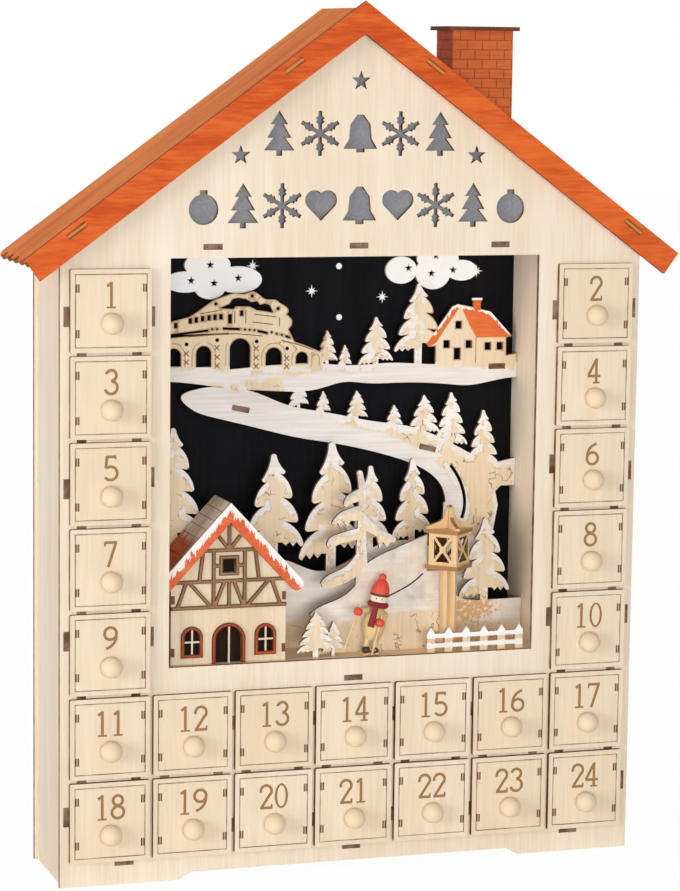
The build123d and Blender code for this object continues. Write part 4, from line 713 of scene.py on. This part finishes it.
hill_coat, front_coat, fir_coat, village_coat = 0.55, 0.4, 0.6, 1.0
snow_relief, snow_depth = 0.5, 0.15 * mm
snow_finish, tree = finish("snow_over_birch", 0.7, 0.25)
rim, rim_up, ground, bare, coat, share_u, share_v = (attribute(tree, name) for name in plate_facts)
place = place_vector(tree)
dabs = noise(place, 300, 3, 0.65)
reach = coat * (1.4 * mm) + 0.8 * mm + rim_up * (2.6 * mm) + (dabs - 0.5) * (6.4 * mm)
rim_snow = rising(reach - (bare | 0.0) * (9 * mm) - rim, -0.5 * mm, 0.9 * mm)
patches = noise(place, 70, 3, 0.6)
open_snow = rising(ground + (patches * 2.4 - 1.25), -0.4, 0.5)
wash = rising(noise(place, 45, 4, 0.65), 0.3, 0.65) * 0.32 + (coat * 0.6 + 0.28)
snow_mask = rim_snow * 0.9 | open_snow * (wash & 0.97)

# %% Lines that the laser burnt into the plates
squiggle = fading(abs(noise(place, 150, 1) - 0.5), 0.006, 0.022)
off_ground = (ground | bare) < -0.5
some_boughs = rising(noise(place, 110, 1), 0.52, 0.6)
on_viaduct = bare > 0.6
at_arches = (share_v < 0.757) * (share_u < -0.02)
arch_line = near(rim, 2.3 * mm, 0.3 * mm) * on_viaduct * (at_arches * 0.7)
cottage_corner = near(share_u, 0.388, 0.0013) * near(share_v, 0.724, 0.033) * (bare > 0.5)
burnt_line = (squiggle * (off_ground * some_boughs) | arch_line | cottage_corner) * 0.75
scorched_rim = fading(rim, 0.25 * mm, 0.8 * mm) * on_viaduct
hem_gate = rising(noise(place, 95, 1), 0.47, 0.55)
snow_hem = fading(abs(rim_snow - 0.35), 0.1, 0.3) * (off_ground * hem_gate)

# %% Wood, burnt lines, snow and a bush, coat by coat
wood, _ = grained(tree, upright_grain, (243, 224, 194), (228, 202, 166))
white, _ = grained(tree, long_grain, (250, 247, 243), (229, 222, 215))
# Painted shade: the front hill's snow is greyed in patches for the shade that lies on it; its thin coat of paint is
# real.
front_hill_painted_shade = near(coat, front_coat, 0.02) * rising(noise(place, 60, 4, 0.6), 0.3, 0.7)
snow_colour = over(white, (front_hill_painted_shade * 0.9, (190, 175, 164)))
bush_u, bush_v = (share_u - 0.365) / 0.075, (share_v - 0.078) / 0.04
leaf_cover = (bush_u * bush_u + bush_v * bush_v) * -0.16 + noise(place, 430, 3, 0.65)
leaves = rising(leaf_cover, 0.36, 0.48) * near(coat, hill_coat, 0.02)
painted = over(wood, (scorched_rim * 0.55, (158, 108, 60)), (burnt_line, (128, 84, 46)), (snow_mask, snow_colour),
               (snow_hem * 0.6, (150, 104, 62)), (leaves * 0.8, (222, 162, 70)), (cut_edge(tree), (112, 74, 42)))
cover(tree, painted, snow_mask, snow_relief, snow_depth)

# %% [markdown]
# The lines below were read from the photograph: where the snow bank under the viaduct begins, where the road's
# snow lies, and where the ground of each hill meets its trees, in thousandths of the window's width and height.

# %% Paint the plates
bank_line = [(-500, 685), (-395, 687), (-329, 693), (-265, 683), (-160, 678), (-74, 677), (5, 682), (104, 676),
             (166, 697), (274, 687), (391, 683), (488, 672)]
road_line = [(-500, 600), (-378, 622), (-336, 639), (-257, 637), (-191, 619), (-76, 591), (0, 571), (77, 542),
             (147, 520), (218, 491), (266, 462), (310, 420), (339, 382), (354, 346), (360, 300), (500, 100)]
bank_foot = [(-500, 600), (-340, 620), (-300, 655), (-120, 660), (-100, 600), (500, 600)]
viaduct_foot = [(-500, 690), (-70, 690), (-50, 685), (-20, 682), (5, 800), (10, 2000), (250, 2000), (255, 690),
                (500, 685)]
trees_line = [(-500, 300), (-400, 250), (-250, 210), (-135, 224), (-39, 190), (83, 235), (161, 258), (250, 240),
              (330, 110), (400, 98), (500, 100)]
trees_foot = [(-500, 80), (0, 62), (250, 50), (500, 30)]
hill_line = [(-86, 100), (-63, 116), (-18, 133), (12, 150), (32, 169), (45, 210), (83, 234), (135, 256), (181, 274),
             (214, 286)]
hill_foot = [(-500, 60), (0, 75), (100, 90), (250, 100)]
wide_grid, fine_grid = 2.5 * mm, 1.5 * mm


def village_ground(u, v):
    return np.maximum(between(bank_line, bank_foot)(u, v), under(road_line)(u, v))


def viaduct_part(u, v):
    return -under(viaduct_foot)(u, v)


village = paint_plate("village_layer", wide_grid, village_coat, village_ground, viaduct_part)
paint_plate("tree_hill", wide_grid, hill_coat, between(trees_line, trees_foot))
paint_plate("front_hill", wide_grid, front_coat, between(hill_line, hill_foot))
paint_plate("small_firs", fine_grid, fir_coat, nowhere)

# %% [markdown]
# ## The cottage roof and the viaduct's line work
# On the village plate the cottage's roof, its left strip and its chimney are stained orange, and the chimney wears
# a cap of snow. The stain ends at scored lines, so the copy of the plate is scored along them too: bisect cuts the
# faces there, and the faces inside each outline get a material of their own. The crosses and lines on the viaduct
# and the train are engraved and burnt dark, and small holes show the night behind.

# %% Score outlines into the village plate
village_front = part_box("village_layer")[0].y


def inside_outline(corners, x, z):
    """Counts how often a line to the right crosses the outline."""
    crossed = [(z1 > z) != (z2 > z) and x < (x2 - x1) * (z - z1) / (z2 - z1) + x1
               for (x1, z1), (x2, z2) in sides_of(corners)]
    return sum(crossed) % 2 == 1


def choose(piece, test):
    """Edit mode with only those vertices selected whose place passes a test."""
    edit_mesh()
    bpy.ops.mesh.select_mode(type="VERT")
    bpy.ops.mesh.select_all(action="DESELECT")
    leave_edit()
    for vertex in piece.data.vertices:
        vertex.select = test(*vertex.co)
    bpy.ops.object.mode_set(mode="EDIT")


def score(plate, outline, slot_index):
    corners = [in_window(u, v) for u, v in outline]
    xs, zs = zip(*corners)
    margin = 3 * mm

    def beside_outline(x, y, z):
        in_width = min(xs) - margin < x < max(xs) + margin
        return in_width and min(zs) - margin < z < max(zs) + margin and y < village_front + 0.1 * mm

    for (x1, z1), (x2, z2) in sides_of(corners):
        pick(plate)
        choose(plate, beside_outline)
        bpy.ops.mesh.bisect(plane_co=(x1, 0, z1), plane_no=Vector((z2 - z1, 0, x1 - x2)).normalized())
        leave_edit()
    inside = [face for face in filter(faces_front, plate.data.polygons)
              if inside_outline(corners, face.center.x, face.center.z)]
    for face in inside:
        face.material_index = slot_index
    print("scored outline with", len(inside), "faces")


# %% Stain the cottage roof and chimney
cottage_orange = (232, 118, 60), (214, 92, 40)
cottage_stain, tree = finish("cottage_orange_stain", 0.6, 0.25)
stained, _ = stain_colour(tree, *cottage_orange)
roof_dabs = noise(drawn_out(place_vector(tree), (1, 1, 0.4)), 480, 3, 0.65)
roof_reach = (roof_dabs - 0.5) * (6 * mm) + 0.3 * mm + attribute(tree, "facing_up") * (1.5 * mm)
roof_snow = rising(roof_reach - attribute(tree, "rim"), -0.2 * mm, 0.4 * mm)
cover(tree, over(stained, (roof_snow, (250, 247, 243))))
chimney_stain = stain_finish("cottage_chimney_stain", [], *cottage_orange, facing_front)
roof_slot, chimney_slot, cap_slot = 1, 2, 3
for material in (cottage_stain, chimney_stain, cloud_white):
    village.data.materials.append(material)
score(village, [(345, 839.5), (426, 822), (484, 762), (469, 757), (389, 757), (370, 789)], roof_slot)
score(village, [(258, 745), (262, 736), (281, 745), (340, 830), (345, 839.5), (340, 842), (324, 836)], roof_slot)
score(village, [(380, 828), (399, 825), (399, 852), (380, 852)], chimney_slot)
score(village, [(360, 852), (420, 852), (420, 870), (360, 870)], cap_slot)

# %% Crosses and holes on the viaduct
burnt = two_tone_finish("burnt_engraving", [], 0.7, 0.3, even_grain, (126, 80, 42), (90, 54, 26))


def burnt_cross(reach, width, thickness):
    """A circle of twelve vertices that are moved to the corners of a slanting cross, then thickened."""
    piece = front_circle(12, reach)
    half = width / 2
    corners = [(half, reach), (half, half), (reach, half)]
    for _ in range(3):
        corners += [(b, -a) for a, b in corners[-3:]]
    slant = math.sqrt(0.5)
    around = sorted(piece.data.vertices, key=lambda vertex: -math.atan2(vertex.co.x, -vertex.co.z))
    for (a, b), vertex in zip(corners, around):
        vertex.co = ((a + b) * slant, 0, (b - a) * slant)
    thicken(thickness)
    return piece


burn_thickness = 0.05 * mm
cross_spots = [(-362, 731), (-362, 710), (-285, 744), (-284, 721), (-284, 700), (-185, 741), (-185, 718),
               (-185, 697), (-107, 715), (-107, 695)]
hole_spots = [(-361, 754), (-284, 763), (-184, 758), (-106, 739)]
cross = burnt_cross(2.0 * mm, 0.55 * mm, burn_thickness)
print_copies(cross, cross_spots, village_front, "viaduct_cross", burnt)
hole = flat_shape(20, 1.1 * mm, (1,), burn_thickness)
print_copies(hole, hole_spots, village_front, "viaduct_hole", sky_paint)
print("viaduct marks:", len(cross_spots) + len(hole_spots))


# %% Engraved lines on the train and the deck
def bar_at(centre, size, turn=0.0):
    """A cube that is scaled to a bar and turned in the front plane."""
    pick()
    bpy.ops.mesh.primitive_cube_add(size=1, location=centre)
    bar = bpy.context.object
    bar.scale = size
    bar.rotation_euler = (0, turn, 0)
    bake_place()
    return bar


line_depth, line_width, line_rounding = 0.1 * mm, 0.5 * mm, 0.03 * mm
line_ends = [
    ((-329, 828), (-271, 837)), ((-240, 803), (-240, 834)), ((-212, 803), (-212, 836)), ((-190, 825), (-135, 818)),
    ((-195, 806), (-143, 799)), ((-126, 794), (-126, 816)), ((-359, 772), (-290, 777)), ((-290, 777), (-235, 778)),
    ((-235, 778), (-168, 771)), ((-121, 760), (-80, 749)), ((-80, 749), (-40, 735))]
for number, ends in enumerate(line_ends, 1):
    start, end = (Vector((x, village_front, z)) for x, z in (in_window(*spot) for spot in ends))
    run = end - start
    strip = bar_at((start + end) / 2, (run.length, line_depth, line_width), -math.atan2(run.z, run.x))
    edit_mesh()
    bpy.ops.mesh.bevel(offset=line_rounding, segments=1)
    leave_edit()
    hand_in(strip, f"village_line_{number}", burnt)
print("engraved lines:", len(line_ends))

# %% [markdown]
# ## Half-timbered house
# The little house is bare birch with a burnt timber overlay. Its bargeboard carries white snow on the upper half
# that drips raggedly into the orange lower half. Door and windows are dark behind orange frames with pale crosses.
# Position alone tells the parts of one sheet apart here, so most CAD pieces stay and only their materials change.
# The overlay has a burnt line along its outline, so a copy that knows its distance to the rim stands for it.

# %% House walls and bargeboard
house_low, house_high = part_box("house_front")
house_x = (house_low.x + house_high.x) / 2
house_pitch = math.radians(47)
pitch_sin, pitch_cos = math.sin(house_pitch), math.cos(house_pitch)
gable_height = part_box("house_bargeboard")[1].z - stage_top
birch_finish("house_wall_birch", ["house_front"], facing_front, upright_grain, (238, 219, 190), (225, 200, 166))


def house_axes(tree):
    """How far from the house's middle line, how high over the stage, and how far below the top of the gable."""
    x, _, z = axes(place_vector(tree))
    height = z - stage_top
    return abs(x - house_x), height, gable_height - height


_, tree = finish("house_walls_birch", 0.62, 0.15, "house_walls")
wood, fibres = grained(tree, upright_grain, (240, 220, 190), (224, 198, 162))
_, wall_y, _ = axes(place_vector(tree))
cover(tree, over(wood, (wall_y < house_low.y + 0.3 * mm, (120, 80, 48))), fibres)

_, tree = finish("bargeboard_finish", 0.6, 0.25, "house_bargeboard")
off, _, below_top = house_axes(tree)
stained, _ = stain_colour(tree, (234, 120, 70), (212, 86, 44))
place = place_vector(tree)
upright_drips = noise(drawn_out(place, (1, 1, 0.25)), 520, 4, 0.65)
drips = upright_drips * (13 * mm) - 6.2 * mm + noise(place, 110, 2) * (6 * mm)
board_snow = rising(drips - (below_top * pitch_cos - off * pitch_sin), -0.2 * mm, 0.4 * mm)
board_colour = over(stained, (board_snow, (250, 240, 234)), (cut_edge(tree) * 0.8, (78, 42, 24)))
cover(tree, board_colour, board_snow, snow_relief, snow_depth)

# %% Worn house roof
row_height, board_length, row_shift = 6.5 * mm, 14 * mm, 0.37
_, tree = finish("house_roof_worn", 0.65, 0.25, "house_roof")
stained, fine = stain_colour(tree, (222, 118, 62), (184, 84, 42))
off, _, below_top = house_axes(tree)
down_slope = below_top * pitch_sin + off * pitch_cos
place = place_vector(tree)
roof_streaks = noise(drawn_out(place, (0.15, 1, 0.15)), 420)
worn = fading(down_slope - roof_streaks * (22 * mm), 14 * mm, 20 * mm)
grey_wash = over((248, 228, 212), (roof_streaks, (200, 176, 160)))
row_number = down_slope / row_height
row_joint = math_node("FRACT", row_number) < 0.09
board_number = math_node("FLOOR", row_number) * row_shift + axes(place)[1] / board_length
end_joint = math_node("FRACT", board_number) < 0.045
cover(tree, over(stained, (worn, grey_wash), ((row_joint | end_joint) * 0.6, (84, 52, 36))), fine, 0.15)

# %% Timber overlay with door and window frames
pane_offset, bar_height, bar_half = 20.8 * mm, 12.58 * mm, 0.7 * mm
pane_half_width, pane_half_height = 4.1 * mm, 6.6 * mm
door_post_half, door_height, frames_top = 0.9 * mm, 20.2 * mm, 30.2 * mm
trim_finish, tree = finish("timber_finish", 0.6, 0.25)
off, height, _ = house_axes(tree)
timber, _ = grained(tree, even_grain, (160, 118, 84), (130, 92, 62))
stained, fine = stain_colour(tree, (190, 82, 38), (160, 60, 24))
on_bar = near(height, bar_height, bar_half) * near(off, pane_offset, pane_half_width)
on_cross = (near(off, pane_offset, bar_half) | on_bar) * near(height, bar_height, pane_half_height)
pale_bars = on_cross | (off < door_post_half) * (height < door_height)
burnt_line = fading(attribute(tree, "rim"), 0.2 * mm, 0.75 * mm) * (0.8 - pale_bars * 0.6)
trim_colour = over(timber, (height < frames_top, stained), (pale_bars, (244, 226, 196)), (burnt_line, (74, 42, 22)),
                   (cut_edge(tree), (66, 38, 20)))
cover(tree, trim_colour, fine, 0.1)
overlay = plate_copy("house_trim", 0.6 * mm)
overlay_rim, _ = rim_distance(overlay)
store(overlay, "rim", overlay_rim)
stand_in(overlay, "house_trim_scorched", trim_finish, "house_trim", overlay_rim)

# %% [markdown]
# Behind the openings sit a door leaf and panes, coloured dark as painted shade for the unlit inside of the house.
# Each starts as a cube that is scaled to a thin plate. Its front face is inset and pushed back, so that the leaf has
# a sunk field like a real door.

# %% Door leaf and panes
# Painted shade: the door leaf and panes are dark brown for the unlit room inside the house.
painted_room_shade = two_tone_finish("painted_room_shade_finish", [], 0.7, 0.1, upright_grain, (50, 32, 20), (32, 18, 10))
plate_depth = 1.2 * mm
plate_middle = house_high.y + 0.25 * mm + plate_depth / 2
field_margin, field_depth = 1.4 * mm, 0.5 * mm


def sunk_plate(name, x, low, high, width):
    """A plate behind the house front; low and high are millimetres over the stage."""
    centre = (x, plate_middle, stage_top + (low + high) / 2 * mm)
    plate = bar_at(centre, (width * mm, plate_depth, (high - low) * mm))
    choose(plate, lambda x, y, z: y < plate_middle)
    bpy.ops.mesh.inset(thickness=field_margin)
    bpy.ops.transform.translate(value=(0, field_depth, 0))
    leave_edit()
    hand_in(plate, name, painted_room_shade)


sunk_plate("house_door_leaf", house_x, 0.3, 22, 17)
sunk_plate("house_pane_left", house_x - pane_offset, 4.5, 21, 10)
sunk_plate("house_pane_right", house_x + pane_offset, 4.5, 21, 10)
sunk_plate("house_gable_pane", house_x, 46, 61, 10)
print("middle of the plates behind the house front at y", round(plate_middle / mm, 1), "mm")

# %% [markdown]
# ## Lantern, fence and struts
# The lantern is bare birch too, with burnt edges on its square plates, its cap and its pierced sides, and its inner
# faces are painted dark brown as shade. Normals tell these faces apart. The fence has white rails and tips, and its
# pickets are bare between them. The struts behind the layers are seen end on, so they are all char.

# %% Lantern finish
_, tree = finish("lantern_birch_finish", 0.6, 0.2, "lantern")
wood, fibres = grained(tree, upright_grain, (234, 202, 156), (216, 178, 126))
lantern_middle = middle_of("lantern")
low_plate, high_plate, plate_half = stage_top + 47.1 * mm, stage_top + 67.3 * mm, 1.2 * mm
lantern_x, lantern_y, lantern_z = axes(place_vector(tree))
normal_x, normal_y, normal_z = axes(new_node(tree, "TexCoord", {})["Normal"])
side_cut = (abs(normal_x + normal_y) | abs(normal_x - normal_y)) < 1.2
cap_cut = (abs(normal_x) | abs(normal_y)) < 0.85
plate_cut = abs(normal_z) < 0.5
on_plate = near(lantern_z, low_plate, plate_half) | near(lantern_z, high_plate, plate_half)
on_cap = lantern_z > high_plate + plate_half
burnt_rim = on_plate * plate_cut + (on_cap * cap_cut + (1 - on_cap) * side_cut) * (1 - on_plate)
outward = (lantern_x - lantern_middle.x) * normal_x + (lantern_y - lantern_middle.y) * normal_y
# Painted shade: faces inside the lantern that turn towards its middle are coloured dark brown for the shade within.
inner_face_painted_shade = (outward < -0.1 * mm) * near(lantern_z, (low_plate + high_plate) / 2, 9 * mm)
cover(tree, over(wood, (burnt_rim * 0.85, (148, 98, 54)), (inner_face_painted_shade, (112, 84, 52))), fibres)

# %% Fence and strut finishes
_, tree = finish("fence_white_wash", 0.65, 0.3, "picket_fence")
bare_wood, _ = grained(tree, upright_grain, (232, 203, 160), (216, 182, 136))
white_wash, _ = grained(tree, long_grain, (254, 252, 250), (242, 236, 228))
place = place_vector(tree)
ragged_height = (noise(place, 420, 2) - 0.5) * (2.4 * mm) + (axes(place)[2] - stage_top)
on_low_rail, over_rails = near(ragged_height, 3.8 * mm, 1.5 * mm), ragged_height > 7.7 * mm
washed = (on_low_rail | over_rails) * 0.88 + 0.1
cover(tree, over(bare_wood, (washed, white_wash), (cut_edge(tree) * 0.7, (140, 98, 62))))
no_sheet = (0, 0, 0)
birch_finish("strut_char", ["layer_struts"], no_sheet, long_grain)
print("lantern, fence and struts dressed")

# %% [markdown]
# ## The wooden skier
# The skier is a small turned figure: a barrel body, a ball head with a tall bobble hat, a scarf, and mittens that
# hold two thin poles. On a lathe each part is turned round its own axis, so most of them start from a sphere or a
# cylinder that is cut with bisect, tapered or bevelled. The figure replaces the simpler CAD one.

# %% Paints and helpers for the figure
figure_x, figure_y = 12.5 * mm, panel_front + 10.5 * mm
figure_lean = math.radians(10)


def figure_paint(name, roughness, light, dark):
    return two_tone_finish(name, [], roughness, 0.5, upright_grain, light, dark, 0.06)


figure_wood = figure_paint("figure_wood", 0.5, (232, 204, 156), (212, 178, 124))
figure_skin = figure_paint("figure_skin", 0.5, (250, 232, 212), (242, 216, 190))
figure_red = figure_paint("figure_red", 0.55, (228, 84, 58), (206, 64, 42))
figure_scarf = figure_paint("figure_scarf", 0.7, (150, 28, 36), (112, 18, 26))
figure_dark = figure_paint("figure_dark", 0.5, (70, 46, 34), (46, 30, 22))


def figure_place(x, y, z):
    """Millimetres from the middle of the figure's foot to a place in the scene."""
    return figure_x + x * mm, figure_y + y * mm, stage_top + z * mm


def settle(name, material, lean=figure_lean):
    """Leans the active piece to the side, bakes place and size into its mesh, smooths it, and hands it in."""
    bpy.ops.transform.rotate(value=-lean, orient_axis="Y", center_override=figure_place(0, 0, 0))
    bake_place()
    bpy.ops.object.shade_smooth_by_angle(angle=math.radians(40))
    hand_in(bpy.context.object, f"skier_{name}", material)


def round_edges(width, segments):
    rounding = bpy.context.object.modifiers.new("rounding", "BEVEL")
    rounding.width = width * mm
    rounding.segments = segments
    bpy.ops.object.modifier_apply(modifier=rounding.name)


# %% Turned balls, rods and rolls
def cut_ball(name, material, centre, radii, cuts):
    """A ball stretched to three radii and cut flat at given heights; each cut keeps what lies towards the middle."""
    pick()
    bpy.ops.mesh.primitive_uv_sphere_add(segments=32, ring_count=20, radius=1, location=figure_place(*centre))
    bpy.context.object.scale = [radius * mm for radius in radii]
    bake_place()
    edit_mesh()
    for height in cuts:
        bpy.ops.mesh.select_all(action="SELECT")
        above = height > centre[2]
        bpy.ops.mesh.bisect(plane_co=figure_place(0, 0, height), plane_no=(0, 0, 1), use_fill=True,
                            clear_outer=above, clear_inner=not above)
    leave_edit()
    settle(name, material)


def rod(name, material, start, end, radius, end_radius=None):
    """A turned rod between two places with rounded ends."""
    end_radius = end_radius or radius
    first, last = Vector(figure_place(*start)), Vector(figure_place(*end))
    axis = last - first
    pick()
    bpy.ops.mesh.primitive_cone_add(vertices=24, radius1=radius * mm, radius2=end_radius * mm,
                                    depth=axis.length, location=(first + last) / 2,
                                    rotation=axis.to_track_quat("Z", "Y").to_euler())
    bake_place()
    round_edges(min(radius, end_radius) * 0.35, 3)
    settle(name, material)


def roll(name, material, centre, radius, thickness):
    """A ring like a rolled cloth, flattened a little by its weight."""
    pick()
    bpy.ops.mesh.primitive_torus_add(major_segments=36, minor_segments=14, major_radius=radius * mm,
                                     minor_radius=thickness * mm, location=figure_place(*centre))
    edit_mesh()
    bpy.ops.transform.resize(value=(1, 1, 0.88))
    bpy.ops.transform.vertex_random(offset=0.12 * mm, seed=4)
    leave_edit()
    settle(name, material)


# %% Skis, boots, legs and body
def ski(name, x):
    """A flat bar whose front end is extruded twice, up and forwards, for the tip."""
    bar = bar_at(figure_place(x, 0.5, 0.6), (3.0 * mm, 10 * mm, 1.0 * mm))
    choose(bar, lambda x, y, z: y < figure_y)
    for rise in (0.3, 0.8):
        bpy.ops.mesh.extrude_region_move(TRANSFORM_OT_translate={"value": (0, -1.3 * mm, rise * mm)})
        bpy.ops.transform.resize(value=(0.85, 1, 0.9))
    leave_edit()
    round_edges(0.2, 2)
    settle(name, figure_wood, 0)


for side, x in (("left", -2.6), ("right", 2.6)):
    ski(f"ski_{side}", x)
    cut_ball(f"boot_{side}", figure_dark, (x, -0.6, 2.4), (2.2, 3.2, 2.1), (1.15,))
    rod(f"leg_{side}", figure_wood, (x, 0, 3.6), (x * 0.9, 0, 11), 1.7)
cut_ball("body", figure_wood, (0, 0, 17.6), (6.3, 5.8, 11.2), (8.6, 27))

# %% Scarf, head and hat
roll("scarf", figure_scarf, (0, 0, 28.2), 4.1, 1.9)
rod("scarf_tail", figure_scarf, (-3, -5.4, 28.6), (-4.4, -6.6, 16), 1.5, 2)
cut_ball("head", figure_skin, (0, 0, 31.8), (4.8, 4.8, 4.8), (28.4,))
cut_ball("hat", figure_red, (0, 0, 33.4), (5.3, 5.3, 9.6), (33.3,))
roll("hat_band", figure_dark, (0, 0, 33.9), 4.6, 0.95)
cut_ball("bobble", figure_red, (0, 0, 43.6), (2.1, 2.1, 2.1), (42.2,))
eye_ring = 4.55
for side, turn in (("left", -38), ("right", 2)):
    angle = math.radians(turn)
    cut_ball(f"eye_{side}", figure_dark, (eye_ring * math.sin(angle), -eye_ring * math.cos(angle), 31.7),
             (0.45, 0.45, 0.5), (31.3,))

# %% Arms, mittens and poles
rod("arm_left", figure_wood, (-4.6, -1, 24.8), (-10.6, -2.4, 23.2), 1.7)
rod("arm_right", figure_wood, (4.8, -2.2, 24), (1.2, -6.8, 19.6), 1.7)
cut_ball("mitten_left", figure_red, (-11.6, -2.6, 23), (2.6, 2.4, 2.5), (21,))
cut_ball("mitten_right", figure_red, (0.4, -7.4, 19), (2.6, 2.2, 2.5), (17,))
rod("pole_left", figure_wood, (-11, -2.6, 27), (-15.6, -2.6, 1.2), 0.55)
rod("pole_right", figure_wood, (0.8, -7.4, 23.4), (-1, -7.4, 0.8), 0.55)
rod("basket_left", figure_wood, (-15.1, -2.6, 4.2), (-15.2, -2.6, 3.4), 1.7)
rod("basket_right", figure_wood, (-0.8, -7.4, 4.2), (-0.85, -7.4, 3.4), 1.7)
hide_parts("skier")
